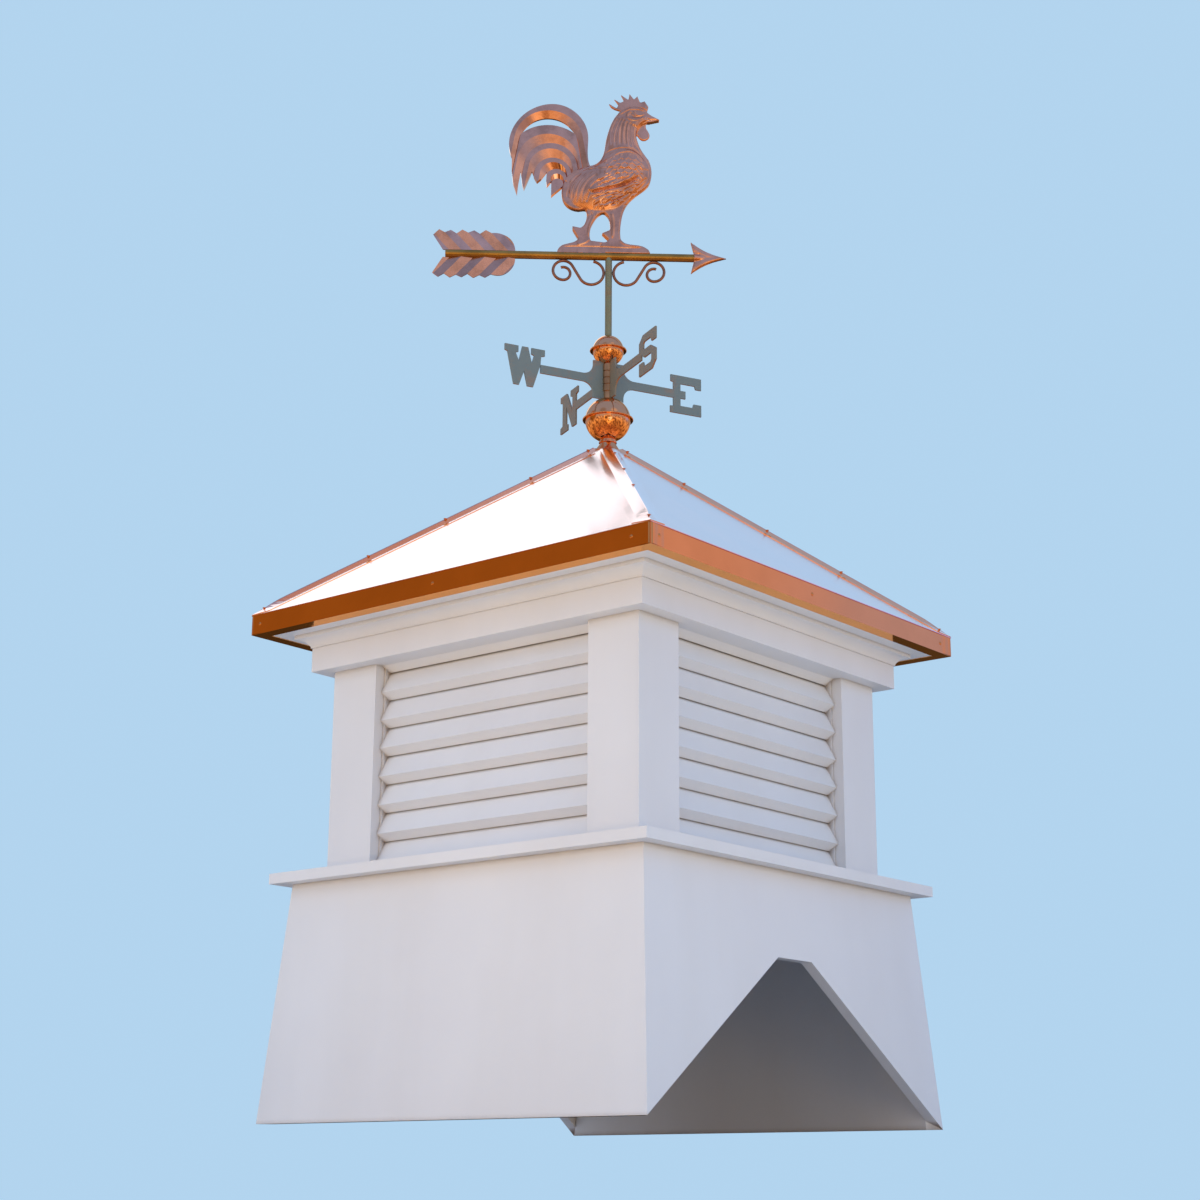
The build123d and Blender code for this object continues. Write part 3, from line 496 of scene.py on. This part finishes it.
def softbox(name, place, target, size, power, tint):
    """A square area light that looks at a target and doesn't show in reflections."""
    light_data = bpy.data.lights.new(name, "AREA")
    light_data.size = size
    light_data.energy = power
    light_data.color = tint
    light = bpy.data.objects.new(name, light_data)
    light.location = place
    light.rotation_euler = (Vector(target) - Vector(place)).to_track_quat("-Z", "Y").to_euler()
    scene.collection.objects.link(light)
    light.visible_glossy = False


# Small parts and relief that the CAD leaves to the looks. Lengths from here on are in millimetres.
MILLIMETRE = 0.001
CAD_TOP = cad_bounds[1][2] / MILLIMETRE

# Fascia's face from the axis, and its lower and upper edge
FASCIA_FACE = 412.4
FASCIA_FOOT = 774.0
FASCIA_TOP = 807.0

# Rivets: heads, places along the fascia, and places down the side and the near hips from the axis
RIVET_RADIUS = 3.0
RIVET_RISE = 0.9
RIVET_SIDES = 14
RIVET_RINGS = 3
FASCIA_RIVETS = [-393.0, -7.0, 378.0]
FASCIA_RIVET_HEIGHT = 790.5
SIDE_HIP_RIVETS = [24.0, 92.6, 193.0, 282.0, 399.4]
NEAR_HIP_RIVETS = [80.0, 175.6, 264.0, 399.4]
HIP_RIVET_OFFSET = 13.8

# Laps round the fascia's corners: each side's length, the fold's radius, gaps, lift and crinkles
LAP_LENGTH = 32.0
LAP_CORNER = 4.0
LAP_FOOT_GAP = 1.0
LAP_TOP_GAP = 0.5
LAP_LIFT = 0.85
LAP_SINK = 0.05
LAP_WAVE = 0.12
LAP_FINE = 0.24
LAP_FINE_LEAN = 2.3
LAP_BROAD = 0.13
LAP_BROAD_LEAN = 3.1
LAP_COLUMNS = 48
LAP_ROWS = 10

# Hip covers: half widths of the sheet and its fold, rise, thickness, bead, ends and taper
ROOF_PITCH = 37.9
ROOF_SLOPE = math.tan(math.radians(ROOF_PITCH))
HIP_WIDTH = 24.0
HIP_FOLD = 15.0
HIP_RISE = 4.0
HIP_SHEET = 1.0
HIP_BEAD = 0.9
HIP_BEAD_STEPS = 6
HIP_START = 16.0
HIP_GAP = 0.5
HIP_END = 413.2
HIP_TAPER = 60.0
HIP_STATIONS = 60


def new_piece(name, vertices, faces, material, body, smooth=True):
    """A mesh piece from millimetres that rides on a body and takes its finish from a slot."""
    mesh = bpy.data.meshes.new(name)
    mesh.from_pydata([tuple(MILLIMETRE * value for value in vertex) for vertex in vertices], [], faces)
    mesh.materials.append(material)
    mesh.polygons.foreach_set("use_smooth", [smooth] * len(mesh.polygons))
    piece = bpy.data.objects.new(name, mesh)
    scene.collection.objects.link(piece)
    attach(piece, body)
    return piece


def grid_faces(first, columns, rows):
    """Faces of a grid of points that starts at an index, one column of rows + 1 points after another."""
    faces = []
    for column in range(columns):
        for row in range(rows):
            low = first + column * (rows + 1) + row
            high = low + rows + 1
            faces.append((low, high, high + 1, low + 1))
    return faces


def dome(place, up):
    """Vertices and faces of a rivet's head, a low dome that sits at a place and looks up."""
    turn = Vector((0, 0, 1)).rotation_difference(Vector(up)).to_matrix()
    vertices = []
    for ring in range(RIVET_RINGS + 1):
        lean = math.pi / 2 * ring / RIVET_RINGS
        for step in range(RIVET_SIDES):
            angle = 2 * math.pi * step / RIVET_SIDES
            flat = RIVET_RADIUS * math.cos(lean)
            point = Vector((flat * math.cos(angle), flat * math.sin(angle), RIVET_RISE * math.sin(lean)))
            vertices.append(Vector(place) + turn @ point)
    faces = []
    for ring in range(RIVET_RINGS):
        for step in range(RIVET_SIDES):
            after = (step + 1) % RIVET_SIDES
            low = ring * RIVET_SIDES
            high = low + RIVET_SIDES
            faces.append((low + step, low + after, high + after, high + step))
    faces.append(tuple(reversed(range(RIVET_SIDES))))
    return vertices, faces


def turned(point, quarter):
    """A point turned about Z by quarters of a circle."""
    return Matrix.Rotation(math.radians(90 * quarter), 3, "Z") @ Vector(point)


def make_rivets(covers, material):
    """Rivet heads on the fascia and down each hip, as one piece; the side hips have three rows of them."""
    vertices = []
    faces = []

    def add_rivet(place, up):
        points, rings = dome(place, up)
        first = len(vertices)
        vertices.extend(points)
        faces.extend(tuple(first + index for index in face) for face in rings)

    surface = BVHTree.FromObject(covers, bpy.context.evaluated_depsgraph_get())
    down = Vector((0, 0, -1))
    for quarter in range(4):
        outward = turned((0, -1, 0), quarter)
        for reach in FASCIA_RIVETS:
            add_rivet(turned((reach, -FASCIA_FACE, FASCIA_RIVET_HEIGHT), quarter), outward)
        side_hip = quarter % 2 == 1
        shifts = (-HIP_RIVET_OFFSET, 0.0, HIP_RIVET_OFFSET) if side_hip else (0.0,)
        for reach in SIDE_HIP_RIVETS if side_hip else NEAR_HIP_RIVETS:
            for shift in shifts:
                above = turned((reach - shift, -reach - shift, 0), quarter)
                above.z = 2 * CAD_TOP
                hit, normal = surface.ray_cast(MILLIMETRE * above, down)[:2]
                if hit is not None:
                    add_rivet(hit / MILLIMETRE, normal if shift else (0, 0, 1))
    new_piece("rivets", vertices, faces, material, "cupola")


def lap_wave(along, share, corner):
    """How far a lap stands out: sunk at its ends, it rises to the fold, a little crinkled."""
    rise = 1 - abs(along / LAP_LENGTH - 1)
    crinkle = math.sin(LAP_FINE * along + LAP_FINE_LEAN * share + corner)
    crinkle *= math.cos(LAP_BROAD * along - LAP_BROAD_LEAN * share + 2 * corner)
    return LAP_LIFT * rise + LAP_WAVE * crinkle * math.sqrt(rise) - LAP_SINK


def make_fascia_laps(material):
    """Slightly crinkled copper folded round each corner of the fascia."""
    vertices = []
    faces = []
    straight = LAP_LENGTH - LAP_CORNER * math.pi / 4
    fold = LAP_CORNER * math.pi / 2
    foot = FASCIA_FOOT + LAP_FOOT_GAP
    rise = FASCIA_TOP - LAP_TOP_GAP - foot
    for quarter in range(4):
        faces.extend(grid_faces(len(vertices), LAP_COLUMNS, LAP_ROWS))
        for column in range(LAP_COLUMNS + 1):
            along = 2 * LAP_LENGTH * column / LAP_COLUMNS
            turn = min(max((along - straight) / LAP_CORNER, 0), math.pi / 2)
            before = max(straight - along, 0)
            after = max(along - straight - fold, 0)
            for row in range(LAP_ROWS + 1):
                share = row / LAP_ROWS
                reach = LAP_CORNER + lap_wave(along, share, quarter)
                point = (
                    FASCIA_FACE - LAP_CORNER - before + reach * math.sin(turn),
                    LAP_CORNER - FASCIA_FACE + after - reach * math.cos(turn),
                    foot + rise * share,
                )
                vertices.append(turned(point, quarter))
    new_piece("fascia_laps", vertices, faces, material, "cupola")


def make_hip_covers(material):
    """The hip caps with a thin bead along the raised fold, which runs out at the eaves."""
    # Points across a cover: place, share of the fold's rise, and rise of the bead
    columns = [(-HIP_WIDTH, 0.0, 0.0), (-HIP_FOLD, 0.0, 0.0)]
    for step in range(HIP_BEAD_STEPS, -1, -1):
        angle = math.pi * step / HIP_BEAD_STEPS
        across = HIP_BEAD * math.cos(angle)
        columns.append((across, 1 - abs(across) / HIP_FOLD, HIP_BEAD * math.sin(angle)))
    columns += [(HIP_FOLD, 0.0, 0.0), (HIP_WIDTH, 0.0, 0.0)]
    along = Vector((1, -1, -ROOF_SLOPE)).normalized()
    sideways = Vector((1, 1, 0)).normalized()
    outward = sideways.cross(along)
    outward *= math.copysign(1, outward.z)
    fall = ROOF_SLOPE / math.sqrt(2 + ROOF_SLOPE**2)
    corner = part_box("roof_sheet_front")[1]
    peak = (corner[2] - corner[1] * ROOF_SLOPE) / MILLIMETRE
    vertices = []
    faces = []
    for quarter in range(4):
        faces.extend(grid_faces(len(vertices), HIP_STATIONS, len(columns) - 1))
        for station in range(HIP_STATIONS + 1):
            for across, fold, rise in columns:
                beside = abs(across) * sideways.x
                lowest = max(HIP_START - beside, beside + HIP_GAP) / along.x
                highest = (HIP_END - beside) / along.x
                place = lowest + (highest - lowest) * station / HIP_STATIONS
                swell = min(max((highest - place) / HIP_TAPER, 0), 1)
                swell = swell * swell * (3 - 2 * swell)
                lift = HIP_SHEET - fall * abs(across) + swell * (HIP_RISE * fold + rise)
                reach = (outward.x * lift + beside + along.x * place - HIP_END) / along.x
                point = across * sideways + (place - max(reach, 0)) * along + lift * outward
                vertices.append(turned((point.x, point.y, point.z + peak), quarter))
    covers = new_piece("hip_covers", vertices, faces, material, "cupola", smooth=False)
    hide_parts("hip_caps")
    thickness = covers.modifiers.new("sheet", "SOLIDIFY")
    thickness.thickness = MILLIMETRE * HIP_SHEET
    thickness.offset = -1.0
    return covers


# Pressed pieces of the vane: size of the new faces, and how close points are welded and move in a round
VOXEL = 1.0
WELD = 0.001
EASING = 0.5

# Rooster: flattening beyond its plate, rounds of smoothing, and what stays as it is
PLATE = 6.0
FLATTEN = 0.5
SMOOTHING = 14
CRISP_SMOOTHING = 2
COMB_ABOVE = 270.0
BEAK_BEYOND = 68.0
FROZEN_BELOW = 3.0
SEAM = ((-58.0, 152.0), (-74.0, 138.0))
SEAM_REACH = 5.0

# How far a face looks sideways where the relief starts and where it is full
FACE_FROM = 0.25
FACE_TO = 0.7

# Grooves and ridges on the rooster's broad faces: depth, half width and the points of each line,
# as distance along the arrow and height above its tube
CREASE_REACH = 3
CREASE_TAPER = 0.12
CREASES = [
    (-1.1, 1.4, [(20, 271), (28, 277), (37, 281), (48, 282), (57, 281), (64, 278), (69, 273)]),
    (0.7, 1.5, [(18, 266), (26, 272), (35, 277), (48, 278), (57, 277), (64, 273)]),
    (0.9, 1.6, [(66, 262), (57, 259), (46, 255), (37, 256), (32, 261), (33, 268), (39, 274)]),
    (-0.8, 1.3, [(38, 272), (39, 266), (45, 262), (55, 263), (64, 267)]),
    (0.7, 1.2, [(43, 274), (47, 268), (54, 265), (62, 267)]),
    (1.3, 4.5, [(45, 242), (50, 251), (57, 256), (64, 260)]),
    (-1.3, 1.4, [(50, 220), (49, 232), (52, 242), (58, 249), (66, 254), (74, 255), (87, 257)]),
    (-0.9, 1.1, [(67, 260), (74, 257), (87, 258)]),
    (-1.0, 1.9, [(17, 260), (9, 244), (4, 224), (3, 203)]),
    (-1.0, 1.9, [(23, 259), (16, 244), (11, 225), (10, 201)]),
    (-1.0, 1.9, [(27, 257), (22, 243), (20, 223), (20, 200)]),
    (-1.0, 1.9, [(32, 252), (29, 239), (28, 219), (30, 200)]),
    (-1.0, 1.9, [(39, 251), (36, 237), (36, 217), (39, 200)]),
    (-1.0, 1.9, [(44, 248), (41, 235), (42, 218), (48, 198)]),
    (
        -1.0, 1.9,
        [(-14, 182), (-6, 188), (5, 193), (18, 196), (30, 197), (41, 196), (50, 191), (58, 183), (64, 173)],
    ),
    (
        1.3, 2.4,
        [(-16, 162), (-7, 170), (3, 179), (14, 186), (26, 190), (37, 191), (48, 186), (55, 180), (60, 169)],
    ),
    (-1.2, 1.3, [(-30, 114), (-19, 120), (-9, 125), (4, 132), (16, 136)]),
    (-1.2, 1.3, [(-16, 117), (-3, 122), (9, 126), (20, 132), (30, 138), (39, 140)]),
    (-1.0, 1.3, [(-26, 124), (-16, 131), (-4, 138), (9, 143), (23, 147)]),
    (-1.2, 1.4, [(27, 128), (35, 132), (44, 142), (51, 151)]),
    (-1.3, 1.6, [(-10, 87), (-2, 92), (9, 96), (20, 101), (30, 107), (39, 114)]),
    (-1.5, 1.8, [(-34, 114), (-36, 106), (-38, 101), (-40, 91)]),
    (-0.8, 1.3, [(-10, 99), (2, 104), (16, 108), (30, 117), (44, 125)]),
    (-0.8, 1.3, [(-30, 99), (-19, 102), (-7, 106), (7, 110)]),
    (-0.9, 1.3, [(37, 118), (48, 123), (58, 133), (66, 142)]),
    (-1.7, 2.6, [(-35, 164), (-46, 161), (-57, 156), (-66, 149), (-74, 140), (-80, 128)]),
    (1.2, 1.8, [(-27, 158), (-39, 155), (-51, 149), (-61, 141), (-69, 129)]),
    (-0.8, 1.9, [(-46, 153), (-58, 141), (-67, 127), (-72, 113), (-73, 100)]),
    (-0.8, 1.9, [(-37, 152), (-50, 140), (-59, 125), (-64, 110), (-65, 94)]),
    (-0.8, 1.9, [(-28, 150), (-41, 138), (-51, 124), (-56, 108), (-57, 91)]),
    (-0.8, 1.9, [(-21, 144), (-33, 134), (-42, 121), (-47, 106), (-48, 91)]),
    (-1.0, 1.5, [(-16, 134), (-25, 126), (-34, 116)]),
    (-0.8, 1.3, [(-30, 164), (-20, 157), (-18, 144)]),
    (1.1, 2.0, [(-20, 76), (-28, 62), (-34, 47), (-36, 28)]),
    (1.0, 2.0, [(4, 75), (7, 59), (7, 40), (6, 25)]),
    (0.9, 2.0, [(-33, 24), (-42, 17), (-56, 12)]),
    (0.9, 2.0, [(19, 23), (27, 16), (41, 13), (58, 11)]),
    (-0.9, 1.2, [(-82, 7), (-59, 8), (-33, 8), (-6, 8), (20, 7), (60, 7)]),
    (-1.0, 1.0, [(-14, 16), (-13, 5)]),
]

# The wing's lower edge: its line, and a groove and a roll beside it by size, distance and half width
WING_EDGE = [
    (-33, 107), (-25, 110), (-16, 113), (-5, 115), (5, 118),
    (16, 121), (27, 125), (37, 130), (46, 138), (55, 148),
]
WING_GROOVE = (3.0, 0.0, 1.8)
WING_ROLL = (1.8, 5.5, 3.6)
WING_TAPER = 0.1

# Scales on the breast: spacing, size and rim, the box that holds them, and the curve of their rows
SCALE_PITCH = 13.5
SCALE_ROW = 9.0
SCALE_RADIUS = 6.9
SCALE_RISE = 1.0
SCALE_RIM = 1.5
SCALE_ROWS = 5
SCALE_BOX = (-10.0, 62.0, 136.0, 186.0)
SCALE_TOP_MARGIN = 2.0
SCALE_FADE = 6.0
RUFF_MIDDLE = 30.0
RUFF_CURVE = 0.011

# Short feather marks: how many, the box that they start in, and their lean in degrees
MARK_FIELDS = [
    (30, (-26.0, 52.0, 118.0, 140.0), 26.0),
    (48, (-28.0, 52.0, 84.0, 112.0), 32.0),
    (14, (-42.0, -8.0, 60.0, 92.0), 78.0),
]
MARK_TURN = 14
MARK_SHORTEST = 7
MARK_LONGEST = 14
MARK_BOW = 1.5
MARK_DEPTHS = [-1.0, 0.9]
MARK_HALF_WIDTH = 1.2
MARK_TAPER = 0.3
MARK_SEED = 11

# Arrow head: the line along which its wings swell, its axis, and the socket, which keeps its shape
HEAD_SWELL = 1.1
HEAD_SWELL_WIDTH = 6.0
HEAD_LINE = [(145.0, 18.0), (152.0, 10.0), (163.0, 3.0), (178.0, -3.0), (196.0, -6.0), (206.0, -7.0)]
HEAD_TAPER = 0.2
HEAD_AXIS = -7.0
HEAD_SMOOTHING = 9
SOCKET_RADIUS = 8.0
SOCKET_END = 160.0


def smooth_line(points, pieces=5):
    """A Catmull-Rom line through the points."""
    points = np.array(points, float)
    ends = [2 * points[0] - points[1], *points, 2 * points[-1] - points[-2]]
    shares = np.linspace(0, 1, pieces, endpoint=False)[:, None]
    line = []
    for before, start, end, after in zip(ends, ends[1:], ends[2:], ends[3:]):
        line.extend(
            0.5 * (
                2 * start
                + (end - before) * shares
                + (2 * before - 5 * start + 4 * end - after) * shares**2
                + (3 * start - before - 3 * end + after) * shares**3
            )
        )
    return np.array([*line, points[-1]])


def near_line(places, line):
    """Each place's distance to the line, its share along it, and its side: 1 is left and -1 is right."""
    starts = line[:-1]
    runs = line[1:] - starts
    offsets = places[:, None] - starts[None]
    shares = np.clip((offsets * runs).sum(-1) / (runs**2).sum(-1), 0, 1)
    gaps = offsets - shares[..., None] * runs
    distances = np.hypot(gaps[..., 0], gaps[..., 1])
    nearest = distances.argmin(1)
    rows = np.arange(len(places))
    gap = gaps[rows, nearest]
    run = runs[nearest]
    side = np.sign(run[:, 0] * gap[:, 1] - run[:, 1] * gap[:, 0])
    share = (nearest + shares[rows, nearest]) / len(runs)
    return distances[rows, nearest], share, side


def tapered(share, taper):
    """1 in the middle of a line, falling to 0 at both ends over a share of its length."""
    return np.clip(np.minimum(share, 1 - share) / taper, 0, 1)


def crease(places, height, depth, half_width, points, taper=CREASE_TAPER):
    """Adds a groove or ridge along a line to the heights, tapered at both ends."""
    line = smooth_line(points)
    reach = CREASE_REACH * half_width
    low = line.min(0) - reach
    high = line.max(0) + reach
    near = np.flatnonzero(((places > low) & (places < high)).all(1))
    if len(near):
        distance, share = near_line(places[near], line)[:2]
        height[near] += depth * np.exp(-((distance / half_width) ** 2)) * tapered(share, taper)


def scales(places):
    """Height of overlapping scales with raised lower rims, in rows that follow the ruff."""
    reach = places[:, 0]
    level = places[:, 1] + RUFF_CURVE * (reach - RUFF_MIDDLE) ** 2
    left, right, bottom, top = SCALE_BOX
    height = np.zeros(len(places))
    taken = np.zeros(len(places), bool)
    for row in range(SCALE_ROWS):
        middle = top - SCALE_ROW * (row + 0.5)
        shift = SCALE_PITCH / 2 * (row % 2)
        across = (reach - shift + SCALE_PITCH / 2) % SCALE_PITCH - SCALE_PITCH / 2
        drop = middle - level
        ring = np.hypot(across, drop)
        near = (ring < SCALE_RADIUS + 2 * SCALE_RIM) & (drop > -SCALE_ROW / 2) & ~taken
        height[near] = SCALE_RISE * np.exp(-(((ring[near] - SCALE_RADIUS) / SCALE_RIM) ** 2))
        taken |= near & (ring < SCALE_RADIUS + SCALE_RIM)
    margins = [reach - left, right - reach, places[:, 1] - bottom, top + SCALE_TOP_MARGIN - level]
    return height * np.clip(np.min(margins, axis=0) / SCALE_FADE, 0, 1)


def add_marks(places, height):
    """Adds short grooves and ridges at random places in each field to the heights."""
    random = np.random.default_rng(MARK_SEED)
    for count, (left, right, low, high), lean in MARK_FIELDS:
        for _ in range(count):
            start = np.array([random.uniform(left, right), random.uniform(low, high)])
            angle = math.radians(lean + random.uniform(-MARK_TURN, MARK_TURN))
            length = random.uniform(MARK_SHORTEST, MARK_LONGEST)
            bow = random.uniform(-MARK_BOW, MARK_BOW)
            run = length * np.array([math.cos(angle), math.sin(angle)])
            middle = start + run / 2 + bow * np.array([-math.sin(angle), math.cos(angle)])
            depth = random.choice(MARK_DEPTHS)
            crease(places, height, depth, MARK_HALF_WIDTH, [start, middle, start + run], MARK_TAPER)


def feather_relief(places):
    """Height of the pressed relief at places on the rooster's broad faces."""
    height = np.zeros(len(places))
    for depth, half_width, points in CREASES:
        crease(places, height, depth, half_width, points)
    distance, share, side = near_line(places, smooth_line(WING_EDGE))
    ends = tapered(share, WING_TAPER)
    for amount, (size, middle, half_width) in ((-1, WING_GROOVE), (1, WING_ROLL)):
        height += amount * size * ends * np.exp(-(((side * distance - middle) / half_width) ** 2))
    height += scales(places)
    add_marks(places, height)
    return height


def vane_frame():
    """From metres in the frame to millimetres along the arrow, through it and above its tube."""
    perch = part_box("arrow_tube")[1][2] / MILLIMETRE
    turn = Matrix.Rotation(-VANE_TURN, 4, "Z")
    return Matrix.Translation((0, 0, -perch)) @ turn @ Matrix.Scale(1 / MILLIMETRE, 4)


def voxel_copy(node, name):
    """A copy of a node, rebuilt in small even faces in the vane's own frame, and its points."""
    source = nodes[node].data.copy()
    source.transform(vane_frame())
    welded = bmesh.new()
    welded.from_mesh(source)
    bmesh.ops.remove_doubles(welded, verts=welded.verts, dist=WELD)
    welded.to_mesh(source)
    welded.free()
    piece = bpy.data.objects.new(name, source)
    scene.collection.objects.link(piece)
    remesh = piece.modifiers.new("voxels", "REMESH")
    remesh.mode = "VOXEL"
    remesh.voxel_size = VOXEL
    evaluated = piece.evaluated_get(bpy.context.evaluated_depsgraph_get())
    mesh = bpy.data.meshes.new_from_object(evaluated)
    piece.modifiers.clear()
    piece.data = mesh
    places = np.empty(3 * len(mesh.vertices))
    mesh.vertices.foreach_get("co", places)
    return piece, places.reshape(-1, 3)


def ease(mesh, places, rounds):
    """Moves each point towards its neighbours for its own number of rounds, and gives the new normals."""
    edges = np.empty(2 * len(mesh.edges), int)
    mesh.edges.foreach_get("vertices", edges)
    edges = edges.reshape(-1, 2)
    degrees = np.bincount(edges.ravel(), minlength=len(places))[:, None]
    for round_number in range(rounds.max()):
        sums = np.zeros_like(places)
        np.add.at(sums, edges[:, 0], places[edges[:, 1]])
        np.add.at(sums, edges[:, 1], places[edges[:, 0]])
        moving = rounds > round_number
        places[moving] += EASING * (sums / degrees - places)[moving]
    mesh.vertices.foreach_set("co", places.ravel())
    mesh.update()
    normals = np.empty(3 * len(places))
    mesh.vertex_normals.foreach_get("vector", normals)
    return normals.reshape(-1, 3)


def place_on_vane(piece, places, node, material):
    """Puts a reshaped copy back in the frame, in place of its node."""
    mesh = piece.data
    mesh.vertices.foreach_set("co", places.ravel())
    mesh.transform(vane_frame().inverted())
    mesh.polygons.foreach_set("use_smooth", [True] * len(mesh.polygons))
    mesh.materials.clear()
    mesh.materials.append(material)
    mesh.update()
    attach(piece, "vane")
    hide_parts(node)


def make_rooster(material):
    """The CAD rooster as pressed copper: soft edges and feathers raised and cut into both broad faces."""
    piece, places = voxel_copy("rooster", "rooster_relief")
    depth = np.abs(places[:, 1])
    flattened = PLATE + FLATTEN * (depth - PLATE)
    places[:, 1] *= np.where(depth > PLATE, flattened / np.maximum(depth, PLATE), 1)
    flat = places[:, [0, 2]]
    seam_distance = near_line(flat, np.array(SEAM))[0]
    frozen = (places[:, 2] < FROZEN_BELOW) | (seam_distance < SEAM_REACH)
    comb = (flat[:, 0] > 0) & (flat[:, 1] > COMB_ABOVE)
    beak = flat[:, 0] > BEAK_BEYOND
    rounds = np.where(frozen, 0, np.where(comb | beak, CRISP_SMOOTHING, SMOOTHING))
    normals = ease(piece.data, places, rounds)
    facing = np.clip((np.abs(normals[:, 1]) - FACE_FROM) / (FACE_TO - FACE_FROM), 0, 1)
    facing[frozen] = 0
    places += normals * (feather_relief(places[:, [0, 2]]) * facing)[:, None]
    place_on_vane(piece, places, "rooster", material)


def make_arrow_head(material):
    """The CAD arrow head as pressed copper: swollen wings with soft edges."""
    piece, places = voxel_copy("arrow_head", "arrow_head_relief")
    above = np.abs(places[:, 2] - HEAD_AXIS)
    socket = (above < SOCKET_RADIUS) & (places[:, 0] < SOCKET_END)
    normals = ease(piece.data, places, np.where(socket, 0, HEAD_SMOOTHING))
    height = np.zeros(len(places))
    wings = np.column_stack([places[:, 0], np.abs(places[:, 2] - HEAD_AXIS) + HEAD_AXIS])
    crease(wings, height, HEAD_SWELL, HEAD_SWELL_WIDTH, HEAD_LINE, HEAD_TAPER)
    height *= np.clip(np.abs(normals[:, 1]), 0, 1) * ~socket
    places += normals * height[:, None]
    place_on_vane(piece, places, "arrow_head", material)


make_camera()
make_floor()
make_world()
for lamp in LAMPS:
    softbox(*lamp)

vinyl = white_vinyl()
sheet_copper = bright_copper("sheet_copper", (0.95, 0.66, 0.56), rough=0.16, wave_depth=0.0012)
hip_copper = bright_copper("hip_copper", (0.94, 0.64, 0.54), rough=0.13, wave_depth=0.001)
trim_copper = bright_copper("trim_copper", (0.9, 0.43, 0.15), 0.1, 0.0015, grazing=GRAZING_COPPER)
ball_copper = bright_copper("ball_copper", (0.93, 0.5, 0.26), 0.09, 0.0006, grazing=GRAZING_COPPER)
aged_copper = weathered_copper("aged_copper", (0.82, 0.45, 0.32), rough=0.22)
tail_copper = weathered_copper("tail_copper", (0.84, 0.47, 0.34), rough=0.08)
feather_copper = weathered_copper("feather_copper", (0.68, 0.46, 0.41), rough=0.24)
scroll_copper = weathered_copper("scroll_copper", (0.42, 0.22, 0.15), rough=0.3)
arrow_brass = brass("arrow_brass", (0.54, 0.35, 0.1))
hub_brass = brass("hub_brass", (0.62, 0.4, 0.22))
green_plate = verdigris("green_plate", (0.21, 0.26, 0.25), metal=0.25)
brown_plate = verdigris("brown_plate", (0.27, 0.235, 0.175), metal=0.35)
green_tube = verdigris("green_tube", (0.3, 0.32, 0.2), metal=0.7)
plywood = deck_wood()

dress(named("base_", "sill_", "corner_post_", "louvre_", "frieze_", "crown_", "soffit"), vinyl)
dress(named("roof_sheet_"), sheet_copper)
dress(["fascia"], trim_copper)
dress(["roof_collar", "lower_ball", "upper_ball"], ball_copper)
dress(named("roof_deck_", "mast_block"), plywood)
dress(["compass_hub"], hub_brass)
dress(["compass_arms_ew"], green_plate)
dress(["compass_arms_ns"], brown_plate)
dress(["mast", "vane_tube"], green_tube)
dress(["arrow_tube"], arrow_brass)
dress(["rooster_tail"], tail_copper)
dress(["arrow_feathers"], feather_copper)
dress(["scrolls"], scroll_copper)

make_rivets(make_hip_covers(hip_copper), trim_copper)
make_fascia_laps(trim_copper)
make_rooster(aged_copper)
make_arrow_head(aged_copper)

scene.view_settings.view_transform = "Standard"
